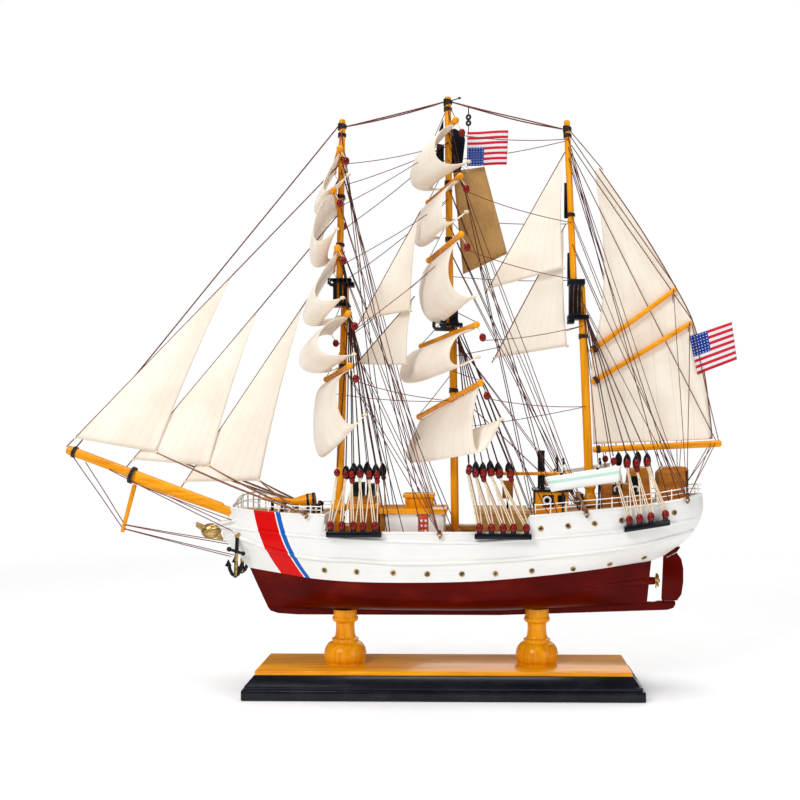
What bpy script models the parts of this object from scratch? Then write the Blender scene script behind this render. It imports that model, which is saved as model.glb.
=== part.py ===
"""Desk model of a three-masted barque on a two-pillar wooden stand.

Units in this file are millimetres until a mesh is finished, when MM turns them into metres.
The origin is the centre of the base's underside. X runs towards the stern, so the bow is at -X
and the port side at -Y. Z is up.
"""
import math

import bmesh
import bpy
from mathutils import Matrix, Vector

MM = 0.001
GAP = 0.3
MERGE = 0.00001

# Stand
BASE_LENGTH = 288.0
BASE_WIDTH = 86.0
SLAB_HEIGHT = 7.3
COVE_HEIGHT = 10.0
COVE_INSET = 2.0
PLATE_LENGTH = 271.0
PLATE_WIDTH = 68.4
PLATE_THICK = 3.0
BASE_TOP = 19.5
PILLAR_X = (-73.8, 68.8)

# Hull
KEEL_HALF = 1.9
KEEL_DEPTH = 4.4
RAIL_THICK = 1.6
RAIL_HEIGHT = 2.2
DECK_THICK = 1.2
WAIST_FORE = -85.0
WAIST_AFT = 62.0
WAIST_RAIL_Z = 119.5
WAIST_FLOOR_Z = 111.5
SHAFT_Z = 80.8
RUDDER_FOOT = (162.2, 66.4)
RUDDER_HEAD = (163.6, 99.0)

# Rig
ROPE = 0.6
SHROUD = 0.45
CLOTH = 0.7
FLAG_THICK = 0.5
BEAD = 3.0


for old in list(bpy.data.objects):
    bpy.data.objects.remove(old)

model = bpy.data.collections.new("tall_ship_model")
cutters = bpy.data.collections.new("cutters")
bpy.context.scene.collection.children.link(model)
bpy.context.scene.collection.children.link(cutters)


def finish(name, colour, roughness, metallic=0.0):
    """One Principled material."""
    made = bpy.data.materials.new(name)
    made.use_nodes = True
    shader = made.node_tree.nodes["Principled BSDF"]
    shader.inputs["Base Color"].default_value = (*colour, 1.0)
    shader.inputs["Roughness"].default_value = roughness
    shader.inputs["Metallic"].default_value = metallic
    return made


VARNISH = finish("honey_varnish", (0.78, 0.42, 0.06), 0.25)
WOOD = finish("brown_wood", (0.50, 0.24, 0.07), 0.4)
BLACK = finish("black_lacquer", (0.012, 0.012, 0.014), 0.2)
WHITE = finish("white_paint", (0.86, 0.87, 0.87), 0.35)
RED = finish("dark_red_gloss", (0.24, 0.02, 0.015), 0.2)
CANVAS = finish("cream_canvas", (0.87, 0.80, 0.68), 0.8)
BRASS = finish("old_brass", (0.55, 0.40, 0.16), 0.35, 0.9)
ROPE_BROWN = finish("brown_cord", (0.16, 0.06, 0.04), 0.8)
FLAG = finish("printed_flag", (0.70, 0.20, 0.22), 0.7)


# Shapes

def place(bm, name, group=model):
    """Turn a mesh drawn in millimetres into an object in metres."""
    bmesh.ops.scale(bm, vec=(MM, MM, MM), verts=bm.verts)
    mesh = bpy.data.meshes.new(name)
    bm.to_mesh(mesh)
    bm.free()
    made = bpy.data.objects.new(name, mesh)
    group.objects.link(made)
    return made


def dress(obj, material, smooth=True):
    """Give an object its one material and its shading."""
    obj.data.materials.clear()
    obj.data.materials.append(material)
    if smooth:
        obj.data.shade_smooth()
        obj.data.set_sharp_from_angle(angle=math.radians(35))
    return obj


def rod(start, end, radius, end_radius=None, sides=8):
    """A round bar or a taper between two points."""
    start, end = Vector(start), Vector(end)
    way = end - start
    turn = way.to_track_quat("Z", "Y").to_matrix().to_4x4()
    matrix = Matrix.Translation((start + end) / 2) @ turn
    tip = radius if end_radius is None else end_radius
    bm = bmesh.new()
    bmesh.ops.create_cone(bm, cap_ends=True, segments=sides, radius1=radius, radius2=tip,
                          depth=way.length, matrix=matrix)
    return place(bm, "shape", cutters)


def ball(centre, radius, squash=(1.0, 1.0, 1.0), segments=8, rings=5):
    """A ball or an egg."""
    matrix = Matrix.Translation(centre) @ Matrix.Diagonal((*squash, 1.0))
    bm = bmesh.new()
    bmesh.ops.create_uvsphere(bm, u_segments=segments, v_segments=rings, radius=radius, matrix=matrix)
    return place(bm, "shape", cutters)


def block(low, high):
    """A box between two corners."""
    low, high = Vector(low), Vector(high)
    size = high - low
    matrix = Matrix.Translation((low + high) / 2) @ Matrix.Diagonal((*size, 1.0))
    bm = bmesh.new()
    bmesh.ops.create_cube(bm, size=1.0, matrix=matrix)
    return place(bm, "shape", cutters)


def board(outline, low, high, upright=True):
    """A flat outline with a thickness: upright in X and Z, or lying in X and Y."""
    data = bpy.data.curves.new("board", "CURVE")
    data.dimensions = "2D"
    data.fill_mode = "BOTH"
    data.extrude = (high - low) / 2 * MM
    line = data.splines.new("POLY")
    line.points.add(len(outline) - 1)
    line.use_cyclic_u = True
    for point, (across, along) in zip(line.points, outline):
        point.co = (across * MM, along * MM, 0.0, 1.0)
    drawn = bpy.data.objects.new("board", data)
    cutters.objects.link(drawn)
    middle = (low + high) / 2 * MM
    if upright:
        drawn.matrix_world = Matrix.Translation((0.0, middle, 0.0)) @ Matrix.Rotation(math.pi / 2, 4, "X")
    else:
        drawn.matrix_world = Matrix.Translation((0.0, 0.0, middle))
    return solid_from(drawn)


def solid_from(drawn, name="shape", group=cutters):
    """Read an object as the viewport shows it, weld it and keep only that mesh."""
    bpy.context.view_layer.update()
    seen = drawn.evaluated_get(bpy.context.evaluated_depsgraph_get())
    mesh = bpy.data.meshes.new_from_object(seen)
    mesh.transform(drawn.matrix_world)
    bm = bmesh.new()
    bm.from_mesh(mesh)
    bmesh.ops.remove_doubles(bm, verts=bm.verts, dist=MERGE / 10)
    bmesh.ops.recalc_face_normals(bm, faces=bm.faces)
    bm.to_mesh(mesh)
    bm.free()
    bpy.data.objects.remove(drawn)
    made = bpy.data.objects.new(name, mesh)
    group.objects.link(made)
    return made


def combine(name, first, others, operation="UNION"):
    """Join shapes into one solid, or take shapes out of one."""
    for count, other in enumerate(others):
        step = first.modifiers.new(f"step_{count}", "BOOLEAN")
        step.operation = operation
        step.solver = "EXACT"
        step.object = other
    made = solid_from(first, name)
    for other in others:
        bpy.data.objects.remove(other)
    return made


def keep(obj, name, material, smooth=True):
    """Move a finished shape to the model's collection."""
    if cutters.objects.get(obj.name):
        cutters.objects.unlink(obj)
        model.objects.link(obj)
    obj.name = name
    obj.data.name = name
    return dress(obj, material, smooth)


def smooth_line(knots):
    """A smooth curve through (x, value) knots, flat beyond its ends."""
    def slope(index):
        before, after = max(index - 1, 0), min(index + 1, len(knots) - 1)
        return (knots[after][1] - knots[before][1]) / (knots[after][0] - knots[before][0])

    def value(x):
        if x <= knots[0][0]:
            return knots[0][1]
        for index in range(len(knots) - 1):
            (x0, y0), (x1, y1) = knots[index], knots[index + 1]
            if x <= x1:
                span = x1 - x0
                t = (x - x0) / span
                m0, m1 = slope(index) * span, slope(index + 1) * span
                a = (2 * t ** 3 - 3 * t ** 2 + 1) * y0 + (t ** 3 - 2 * t ** 2 + t) * m0
                b = (-2 * t ** 3 + 3 * t ** 2) * y1 + (t ** 3 - t ** 2) * m1
                return a + b
        return knots[-1][1]
    return value


class Pole:
    """A mast's axis from foot to head."""

    def __init__(self, foot, head, radius, head_radius):
        self.foot, self.head = Vector(foot), Vector(head)
        self.radius, self.head_radius = radius, head_radius

    def at(self, z):
        share = (z - self.foot.z) / (self.head.z - self.foot.z)
        return self.foot.lerp(self.head, share)

    def radius_at(self, z):
        share = (z - self.foot.z) / (self.head.z - self.foot.z)
        return self.radius + (self.head_radius - self.radius) * share

    def body(self, sides=10):
        return rod(self.foot, self.head, self.radius, self.head_radius, sides)


def grid(name, point, across, up, group=model):
    """An open surface whose point(s, t) runs from 0 to 1 both ways."""
    bm = bmesh.new()
    rows = [[bm.verts.new(point(i / across, j / up)) for i in range(across + 1)] for j in range(up + 1)]
    for j in range(up):
        for i in range(across):
            bm.faces.new((rows[j][i], rows[j][i + 1], rows[j + 1][i + 1], rows[j + 1][i]))
    return place(bm, name, group)


def sheet(surface, thickness):
    """Make cloth of an open surface."""
    thick = surface.modifiers.new("cloth", "SOLIDIFY")
    thick.thickness = thickness * MM
    thick.offset = 0.0
    return dress(surface, CANVAS)


# Stand: a black moulded plinth, a varnished top plate and two turned pillars

def frustum(low_size, low_z, high_size, high_z):
    """A box whose top and bottom differ in size."""
    bm = bmesh.new()
    bmesh.ops.create_cube(bm, size=1.0)
    for vert in bm.verts:
        size, z = (low_size, low_z) if vert.co.z < 0 else (high_size, high_z)
        vert.co = (vert.co.x * size[0], vert.co.y * size[1], z)
    return place(bm, "shape", cutters)


slab = block((-BASE_LENGTH / 2, -BASE_WIDTH / 2, 0.0), (BASE_LENGTH / 2, BASE_WIDTH / 2, SLAB_HEIGHT))
cove_length = BASE_LENGTH - 2 * COVE_INSET
cove_width = BASE_WIDTH - 2 * COVE_INSET
cove = block((-cove_length / 2, -cove_width / 2, SLAB_HEIGHT - 1.0),
             (cove_length / 2, cove_width / 2, COVE_HEIGHT))
slope = frustum((cove_length - 2.0, cove_width - 2.0), COVE_HEIGHT - 1.0,
                (PLATE_LENGTH + 1.0, PLATE_WIDTH + 1.0), BASE_TOP - PLATE_THICK - GAP)
plinth = combine("base_plinth", slab, [cove, slope])
keep(plinth, "base_plinth", BLACK, smooth=False)
plate = block((-PLATE_LENGTH / 2, -PLATE_WIDTH / 2, BASE_TOP - PLATE_THICK),
              (PLATE_LENGTH / 2, PLATE_WIDTH / 2, BASE_TOP))
keep(plate, "base_top_plate", VARNISH, smooth=False)

PILLAR_PROFILE = [
    (8.9, 59.2), (8.9, 54.4), (9.5, 53.4), (9.6, 51.6), (8.6, 50.4), (7.2, 49.4), (6.9, 46.0),
    (7.4, 40.5), (8.2, 38.4), (10.0, 37.6), (10.0, 35.6), (12.4, 34.2), (14.7, 31.0), (15.8, 27.0),
    (15.6, 22.8), (14.6, 20.6), (14.6, BASE_TOP + GAP),
]


def keel_bottom(x):
    """Height of the keel's underside."""
    return 55.1 + max(0.0, x - 41.0) / 124.0 * 4.3


def turned(profile, x, segments=16):
    """A profile of (radius, height) turned about a vertical axis at x."""
    mesh = bpy.data.meshes.new("profile")
    rim = [(0.0, 0.0, profile[0][1] * MM)]
    rim += [(radius * MM, 0.0, z * MM) for radius, z in profile]
    rim += [(0.0, 0.0, profile[-1][1] * MM)]
    mesh.from_pydata(rim, [(i, i + 1) for i in range(len(rim) - 1)], [])
    drawn = bpy.data.objects.new("profile", mesh)
    drawn.location.x = x * MM
    cutters.objects.link(drawn)
    screw = drawn.modifiers.new("turn", "SCREW")
    screw.steps = segments
    screw.render_steps = segments
    screw.use_merge_vertices = True
    screw.merge_threshold = MERGE
    return solid_from(drawn)


for name, pillar_x in zip(("pillar_fore", "pillar_aft"), PILLAR_X):
    lift = keel_bottom(pillar_x) - keel_bottom(PILLAR_X[0])
    profile = [(radius, z + (lift if z > 54.0 else 0.0)) for radius, z in PILLAR_PROFILE]
    floor = keel_bottom(pillar_x) - 0.1 - GAP
    slot = block((pillar_x - 20.0, -KEEL_HALF - GAP, floor), (pillar_x + 20.0, KEEL_HALF + GAP, 70.0))
    keep(combine(name, turned(profile, pillar_x), [slot], "DIFFERENCE"), name, VARNISH)


# Hull: a red bottom and white topsides, lofted half and half

WATERLINE_Z = smooth_line([(-145, 90.0), (-118, 87.2), (-98, 85.0), (-65, 83.4), (-15, 83.3), (25, 84.4),
                           (60, 87.0), (103, 91.0), (140, 95.0), (153, 96.2), (163, 99.9)])
SHEER_Z = smooth_line([(-159, 135.2), (-138, 133.6), (-117, 132.7), (-94, 132.3), (-79, 132.0), (0, 130.5),
                       (61, 131.8), (99, 135.0), (141, 138.8), (177, 143.6), (190.5, 146.0)])
WATERLINE_HALF = smooth_line([(-145, 1.3), (-135, 6.5), (-120, 13.5), (-100, 21.5), (-80, 27.5), (-50, 32.3),
                              (-20, 33.6), (20, 33.6), (60, 31.5), (95, 26.5), (120, 19.5), (140, 11.0),
                              (153, 4.0), (163, 1.5)])
MIDDLE_HALF = smooth_line([(-164, 1.3), (-150, 9.5), (-130, 19.5), (-110, 27.0), (-85, 32.0), (-50, 34.5),
                           (0, 35.0), (50, 34.8), (100, 33.0), (135, 29.0), (160, 21.5), (177, 12.5),
                           (187.5, 1.5)])
SHEER_HALF = smooth_line([(-159, 2.6), (-150, 9.5), (-135, 17.5), (-115, 25.5), (-90, 31.0), (-60, 34.2),
                          (-20, 35.0), (50, 35.0), (100, 34.0), (135, 31.3), (160, 26.0), (178, 17.0),
                          (187, 8.5), (190.5, 2.0)])
STEM_X = smooth_line([(0.0, -145.0), (0.25, -154.5), (0.5, -164.0), (0.75, -161.5), (1.0, -159.0)])
STERN_X = smooth_line([(0.0, 163.0), (0.25, 179.0), (0.5, 187.5), (0.75, 191.0), (1.0, 190.5)])
BOW_FOOT_X = -131.0
STERNPOST_X = (150.0, 153.0)
COLUMNS = 30


def columns(fore, aft, count=COLUMNS):
    """Places along a row, closer together at both ends."""
    return [fore + (aft - fore) * (1 - math.cos(math.pi * i / count)) / 2 for i in range(count + 1)]


def half_loft(name, rows):
    """One half of a hull from rows of (x, half breadth, z), mirrored about the centre plane."""
    bm = bmesh.new()
    side = [[bm.verts.new((x, -y, z)) for x, y, z in row] for row in rows]
    count, top = len(rows[0]) - 1, len(rows) - 1

    def on_centre(vert):
        return bm.verts.new((vert.co.x, 0.0, vert.co.z))

    low = [on_centre(vert) for vert in side[0]]
    high = [on_centre(vert) for vert in side[top]]
    front = [low[0]] + [on_centre(row[0]) for row in side[1:top]] + [high[0]]
    back = [low[count]] + [on_centre(row[count]) for row in side[1:top]] + [high[count]]
    for j in range(top):
        for i in range(count):
            bm.faces.new((side[j][i], side[j][i + 1], side[j + 1][i + 1], side[j + 1][i]))
        bm.faces.new((side[j][0], side[j + 1][0], front[j + 1], front[j]))
        bm.faces.new((side[j][count], back[j], back[j + 1], side[j + 1][count]))
    for i in range(count):
        bm.faces.new((side[0][i], low[i], low[i + 1], side[0][i + 1]))
        bm.faces.new((side[top][i], side[top][i + 1], high[i + 1], high[i]))
    half = place(bm, name, cutters)
    mirror = half.modifiers.new("both_sides", "MIRROR")
    mirror.use_axis = (False, True, False)
    mirror.use_clip = True
    mirror.merge_threshold = MERGE
    return solid_from(half)


def bottom_row(level):
    """A row of the red bottom: level 0 at the keel, 1 at the waterline."""
    stem = BOW_FOOT_X + (WATERLINE_STEM - BOW_FOOT_X) * level
    post = STERNPOST_X[0] + (STERNPOST_X[1] - STERNPOST_X[0]) * level
    row = []
    for x in columns(stem, post):
        along = (x - stem) / (post - stem)
        full = max(0.0, math.sin(math.pi * along)) ** 0.8
        power = 1.0 + 1.5 * full
        outer = WATERLINE_STEM + along * (STERNPOST_X[1] - WATERLINE_STEM)
        reach = (1 - (1 - level) ** power) ** (1 / power)
        width = KEEL_HALF + (max(WATERLINE_HALF(outer), KEEL_HALF) - KEEL_HALF) * reach
        low = keel_bottom(x) + KEEL_DEPTH
        row.append((x, min(width, max(WATERLINE_HALF(outer), 1.3)), low + (WATERLINE_Z(x) - low) * level))
    return row


WATERLINE_STEM = -145.0
bottom = half_loft("hull_lower", [bottom_row(level) for level in (0.0, 0.1, 0.25, 0.42, 0.6, 0.8, 1.0)])
keel_line = [(-131.5, 60.6), (-129.6, 58.0), (-124.0, 56.1), (-109.0, 55.1), (41.0, 55.1), (165.0, 59.4),
             (169.6, 60.8), (171.2, 63.4), (171.0, 65.3), (147.0, 65.3), (144.0, 70.0), (-118.0, 70.0),
             (-128.0, 64.0)]
keel = board(keel_line, 0.15 - KEEL_HALF, KEEL_HALF - 0.15)
bossing = rod((132.0, 0, SHAFT_Z), (155.8, 0, SHAFT_Z), 3.4, 2.7, sides=14)
pin_bore = rod((149.0, 0, SHAFT_Z), (160.0, 0, SHAFT_Z), 1.1, sides=12)
pintle_bore = rod((162.1, 0, 61.5), (162.2, 0, 68.0), 1.1, sides=12)
bottom = combine("hull_lower", bottom, [keel, bossing])
bottom = combine("hull_lower", bottom, [pin_bore, pintle_bore], "DIFFERENCE")
keep(bottom, "hull_lower", RED)


def topside_point(level, x):
    """Half breadth and height of the white topsides: level 0 at the waterline, 1 at the sheer."""
    along = (x - STEM_X(level)) / (STERN_X(level) - STEM_X(level))
    lower_x = STEM_X(0.0) + along * (STERN_X(0.0) - STEM_X(0.0))
    middle_x = STEM_X(0.5) + along * (STERN_X(0.5) - STEM_X(0.5))
    upper_x = STEM_X(1.0) + along * (STERN_X(1.0) - STEM_X(1.0))
    low, middle, high = WATERLINE_HALF(lower_x), MIDDLE_HALF(middle_x), SHEER_HALF(upper_x)
    if level < 0.5:
        width = low + (middle - low) * (1 - (1 - level * 2) ** 1.6)
    else:
        width = middle + (high - middle) * (level * 2 - 1)
    bottom_z, top_z = WATERLINE_Z(lower_x) + GAP, SHEER_Z(upper_x)
    return width, bottom_z + (top_z - bottom_z) * level


def side_half(x, z):
    """Half breadth of the topsides at a place and a height."""
    low, high = 0.0, 1.0
    for _ in range(20):
        level = (low + high) / 2
        if topside_point(level, x)[1] < z:
            low = level
        else:
            high = level
    return topside_point(level, x)[0]


def topside_row(level, inset=0.0, drop=0.0):
    """A row of the topsides, or of the rail's inner edge."""
    stem, stern = STEM_X(level) + 1.4 * inset, STERN_X(level) - 1.2 * inset
    row = []
    for x in columns(stem, stern):
        width, z = topside_point(level, x)
        row.append((x, max(width - inset, 0.4), z - drop))
    return row


levels = [topside_row(level) for level in (0.0, 0.16, 0.34, 0.5, 0.7, 0.86, 1.0)]
levels += [topside_row(1.0, RAIL_THICK), topside_row(1.0, RAIL_THICK, RAIL_HEIGHT)]
topsides = half_loft("hull_upper", levels)


def well_outline(fore, aft, inset, steps=14):
    """Plan of the open waist, a rail's thickness inside the hull's side."""
    places = [fore + (aft - fore) * i / steps for i in range(steps + 1)]
    port = [(x, -(MIDDLE_HALF(x) - inset)) for x in places]
    return port + [(x, -y) for x, y in reversed(port)]


BOWSPRIT_ROOT = (-152.0, 0.0, 128.8)
BOWSPRIT_HEAD = (-236.8, 0.0, 157.6)
JIB_BOOM_ROOT = (-165.4, 0.0, 134.5)
JIB_BOOM_TIP = (-282.5, 0.0, 178.0)
BOWSPRIT_RADIUS = 3.5
JIB_BOOM_RADIUS = 3.5

above_waist = block((WAIST_FORE, -60.0, WAIST_RAIL_Z), (WAIST_AFT, 60.0, 160.0))
well_plan = well_outline(WAIST_FORE + RAIL_THICK, WAIST_AFT - 0.01, RAIL_THICK)
well = board(well_plan, WAIST_FLOOR_Z, 126.0, upright=False)
stock_bore = rod((162.6, 0, 92.0), (164.0, 0, 108.0), 1.7, sides=12)
spar_way = Vector(BOWSPRIT_HEAD) - Vector(BOWSPRIT_ROOT)
bow_bore = rod(Vector(BOWSPRIT_ROOT) - spar_way * 0.02, BOWSPRIT_HEAD, BOWSPRIT_RADIUS + GAP, sides=12)
bow_slot = block((-170.0, -BOWSPRIT_RADIUS - GAP, 132.0), (-151.0, BOWSPRIT_RADIUS + GAP, 150.0))
beak = board([(-172.5, 122.9), (-170.0, 124.6), (-158.0, 125.6), (-154.0, 118.0), (-162.0, 114.0)], -1.6, 1.6)
topsides = combine("hull_upper", topsides, [beak])
topsides = combine("hull_upper", topsides, [above_waist, well, stock_bore, bow_bore, bow_slot], "DIFFERENCE")
keep(topsides, "hull_upper", WHITE)


# Decks and what stands on them

def deck_strip(fore, aft, inset, lift, thick, count=12):
    """A deck plate that follows the sheer."""
    rows = []
    for extra in (0.0, thick):
        row = []
        for i in range(count + 1):
            x = fore + (aft - fore) * i / count
            row.append((x, SHEER_HALF(x) - inset, SHEER_Z(x) - RAIL_HEIGHT + lift + extra))
        rows.append(row)
    return half_loft("deck", rows)


def deck_z(x):
    """Top of the forecastle deck or quarterdeck."""
    return SHEER_Z(x) - RAIL_HEIGHT + GAP + DECK_THICK


WAIST_DECK_TOP = WAIST_FLOOR_Z + GAP + DECK_THICK
keep(deck_strip(-148.0, WAIST_FORE - GAP, RAIL_THICK + 0.8, GAP, DECK_THICK), "forecastle_deck", WOOD)
waist_plate = board(well_outline(WAIST_FORE + RAIL_THICK + GAP, WAIST_AFT - GAP, RAIL_THICK + GAP),
                    WAIST_FLOOR_Z + GAP, WAIST_DECK_TOP, upright=False)
keep(waist_plate, "waist_deck", WOOD)

QUARTER_FORE = 24.0
bulkhead = block((QUARTER_FORE, -27.0, WAIST_DECK_TOP + GAP), (WAIST_AFT - GAP, 27.0, 134.0))
landing = block((QUARTER_FORE - 2.0, -28.5, 132.0), (WAIST_AFT - GAP, 28.5, 134.6))
after_deck = deck_strip(WAIST_AFT + GAP, 184.0, RAIL_THICK + 0.8, GAP, DECK_THICK, 14)
bridge = block((WAIST_AFT - 4.0, -26.0, deck_z(WAIST_AFT) - DECK_THICK + 0.1),
               (WAIST_AFT + 4.0, 26.0, deck_z(WAIST_AFT) + 0.6))
keep(combine("quarterdeck", bulkhead, [landing, bridge, after_deck]), "quarterdeck", WOOD)

house = block((-42.0, -22.0, WAIST_DECK_TOP + GAP), (0.0, 22.0, 132.2))
roof = block((-47.0, -25.0, 131.7), (2.4, 25.0, 135.4))
cabin = block((-28.5, -9.0, 135.0), (-8.5, 9.0, 142.8))
cabin_roof = block((-30.3, -10.8, 142.4), (-7.2, 10.8, 145.6))
keep(combine("midship_house", house, [roof, cabin, cabin_roof]), "midship_house", WHITE, smooth=False)

fore_body = block((-70.0, -11.0, WAIST_DECK_TOP + GAP), (-48.5, 11.0, 144.0))
fore_top = block((-71.5, -12.0, 143.0), (-52.0, 12.0, 153.0))
keep(combine("fore_house", fore_body, [fore_top]), "fore_house", WOOD, smooth=False)

def on_deck(fore, aft, half, top, steps=6):
    """A deckhouse whose foot follows the deck; top is its upper outline from fore to aft."""
    foot = [(aft + (fore - aft) * i / steps) for i in range(steps + 1)]
    outline = [(x, deck_z(x) + GAP) for x in foot] + list(top)
    return board(outline, -half, half)


drum_z = deck_z(-106.0) + 6.0
drum = rod((-114.5, 0, drum_z), (-97.5, 0, drum_z), 4.4, 5.2, sides=12)
chocks = on_deck(-111.0, -100.0, 3.0, [(-111.0, drum_z - 2.0), (-100.0, drum_z - 2.0)])
keep(combine("foredeck_winch", drum, [chocks]), "foredeck_winch", VARNISH)

wheelhouse = on_deck(67.0, 91.5, 13.0, [(67.0, 148.0), (91.5, 148.0)])
wheelhouse_roof = block((65.6, -14.5, 147.4), (94.0, 14.5, 149.6))
funnel = rod((72.0, 0, 149.0), (72.0, 0, 177.5), 3.0, sides=14)
keep(combine("wheelhouse", wheelhouse, [wheelhouse_roof, funnel]), "wheelhouse", WOOD)

aft_line = [(117.0, 151.0), (135.0, 151.0), (137.0, 164.0), (150.0, 165.4), (151.5, 163.6)]
keep(on_deck(117.0, 151.5, 11.0, aft_line), "aft_house", WOOD, smooth=False)
stern_line = [(157.5, 161.0), (161.5, 165.4), (177.5, 165.6), (179.5, 163.8)]
keep(on_deck(157.5, 179.5, 9.0, stern_line), "stern_house", WOOD, smooth=False)

BOAT_LENGTH = 55.0
BOAT_HEIGHT = 10.8


def boat(name, side):
    """A ship's boat hung outboard on two davits, bow up towards the stern."""
    stations = ((0.0, 2.2), (0.12, 4.6), (0.3, 6.0), (0.55, 6.4), (0.8, 5.0), (0.95, 2.4), (1.0, 0.8))
    rows = []
    for height, share in ((0.0, 0.35), (0.3, 0.75), (0.65, 0.95), (1.0, 1.0)):
        rows.append([(t * BOAT_LENGTH + (1 - height) * (3.0 - 6.0 * t), half * share, height * BOAT_HEIGHT)
                     for t, half in stations])
    hull = half_loft(name, rows)
    tilt = Matrix.Rotation(-math.radians(8.6), 4, "Y")
    hull.data.transform(Matrix.Translation((74.4 * MM, side * 37.2 * MM, 148.2 * MM)) @ tilt)
    pieces = []
    for x in (86.0, 112.0):
        foot = (x, side * (SHEER_HALF(x) - 6.5), deck_z(x) + GAP + 0.2)
        knee = (x, side * 35.0, 153.0 + (x - 74.4) * 0.15)
        pieces.append(rod(foot, knee, 0.9, sides=6))
    keep(combine(name, hull, pieces), name, WHITE)


boat("boat_port", -1)
boat("boat_starboard", 1)


# Stern gear: the rudder on its stock and the propeller on its pin

def rudder_x(z):
    """The rudder's axis leans a little."""
    low, high = RUDDER_FOOT, RUDDER_HEAD
    return low[0] + (high[0] - low[0]) * (z - low[1]) / (high[1] - low[1])


blade_line = [(161.3, 66.4), (172.4, 66.4), (175.6, 71.0), (177.0, 80.0), (177.0, 90.0), (175.6, 97.0),
              (172.3, 101.6), (165.6, 98.2), (163.0, 97.0)]
blade = board(blade_line, -1.4, 1.4)
stock = rod((rudder_x(67.5), 0, 67.5), (rudder_x(105.0), 0, 105.0), 1.35, sides=10)
pintle = rod((rudder_x(62.5), 0, 62.5), (rudder_x(68.0), 0, 68.0), 0.8, sides=10)
rudder = combine("rudder", blade, [stock, pintle])
pivot = Vector((RUDDER_FOOT[0] * MM, 0.0, RUDDER_FOOT[1] * MM))
rudder.data.transform(Matrix.Translation(-pivot))
rudder.location = pivot
keep(rudder, "rudder", RED)

hub = rod((156.2, 0, SHAFT_Z), (159.4, 0, SHAFT_Z), 2.3, 1.5, sides=14)
propeller_pin = rod((151.0, 0, SHAFT_Z), (157.5, 0, SHAFT_Z), 0.8, sides=10)
blades = []
for turn in range(4):
    matrix = Matrix.Rotation(turn * math.pi / 2 + 0.5, 4, "X") @ Matrix.Translation((0, 0, 3.8))
    matrix = matrix @ Matrix.Rotation(math.radians(32), 4, "Z") @ Matrix.Diagonal((0.28, 1.15, 1.5, 1.0))
    bm = bmesh.new()
    bmesh.ops.create_uvsphere(bm, u_segments=10, v_segments=6, radius=1.9,
                              matrix=Matrix.Translation((157.6, 0, SHAFT_Z)) @ matrix)
    blades.append(place(bm, "shape", cutters))
propeller = combine("propeller", hub, [propeller_pin] + blades)
shaft = Vector((157.6 * MM, 0.0, SHAFT_Z * MM))
propeller.data.transform(Matrix.Translation(-shaft))
propeller.location = shaft
keep(propeller, "propeller", BRASS)


# Bow gear: spars, dolphin striker, figurehead and anchors

bowsprit = rod(BOWSPRIT_ROOT, BOWSPRIT_HEAD, BOWSPRIT_RADIUS, sides=12)
jib_boom = rod(JIB_BOOM_ROOT, JIB_BOOM_TIP, JIB_BOOM_RADIUS, sides=12)
keep(combine("bowsprit", bowsprit, [jib_boom]), "bowsprit", VARNISH)


keep(rod((-231.6, 0, 151.6), (-241.0, 0, 116.1), 1.7, sides=10), "dolphin_striker", VARNISH)

bird = ball((-173.6, 0, 116.6), 7.2, (1.15, 0.62, 0.9), 12, 8)
neck = rod((-178.0, 0, 118.0), (-184.5, 0, 121.6), 3.2, 2.2, sides=10)
beak_tip = rod((-183.5, 0, 121.2), (-187.5, 0, 122.6), 1.9, 0.8, sides=8)
tail = rod((-169.5, 0, 113.8), (-165.6, 0, 110.4), 3.2, 1.3, sides=8)
away = board([(-173.3, 122.5), (-170.2, 125.2), (-155.0, 126.2), (-153.0, 111.5), (-163.4, 112.4)], -2.0, 2.0)
bird = combine("figurehead", bird, [neck, beak_tip, tail])
keep(combine("figurehead", bird, [away], "DIFFERENCE"), "figurehead", BRASS)


def anchor(name, side):
    """An anchor hung by its ring against the bow."""
    y = side * 12.6
    shank = rod((-152.6, side * 10.4, 116.8), (-153.4, y, 84.5), 0.95, sides=8)
    ring = ball((-152.6, side * 10.2, 116.6), 1.9, (1.0, 0.7, 1.0))
    stock = rod((-158.2, y - side * 0.9, 104.6), (-148.2, y - side * 0.9, 101.6), 0.85, sides=8)
    crown = [(-158.6, 94.8), (-157.0, 88.0), (-153.6, 83.4), (-150.0, 88.4), (-148.9, 93.0),
             (-151.4, 89.8), (-153.5, 87.2), (-156.2, 90.0)]
    arms = board(crown, y - 0.9, y + 0.9)
    keep(combine(name, shank, [ring, stock, arms]), name, BLACK)


anchor("anchor_port", -1)
anchor("anchor_starboard", 1)


# Masts: each lower mast carries a black doubling, where its topmast stands beside it

FORE_LOWER = Pole((-79.0, 0, WAIST_DECK_TOP + GAP), (-73.9, 1.6, 303.0), 3.0, 2.7)
FORE_TOP = Pole((-78.0, -3.5, 284.0), (-76.0, 0, 424.0), 2.6, 2.4)
MAIN_LOWER = Pole((8.0, 0, WAIST_DECK_TOP + GAP), (6.2, 2.6, 286.0), 3.0, 2.8)
MAIN_TOP = Pole((4.6, -3.4, 268.0), (2.6, 0, 440.5), 2.7, 2.4)
MIZZEN_LOWER = Pole((108.4, 0, deck_z(108.4) + GAP + 0.6), (101.8, 1.2, 300.0), 3.3, 2.9)
MIZZEN_TOP = Pole((97.0, -1.6, 277.0), (91.0, 0, 422.5), 2.6, 2.3)

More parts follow.
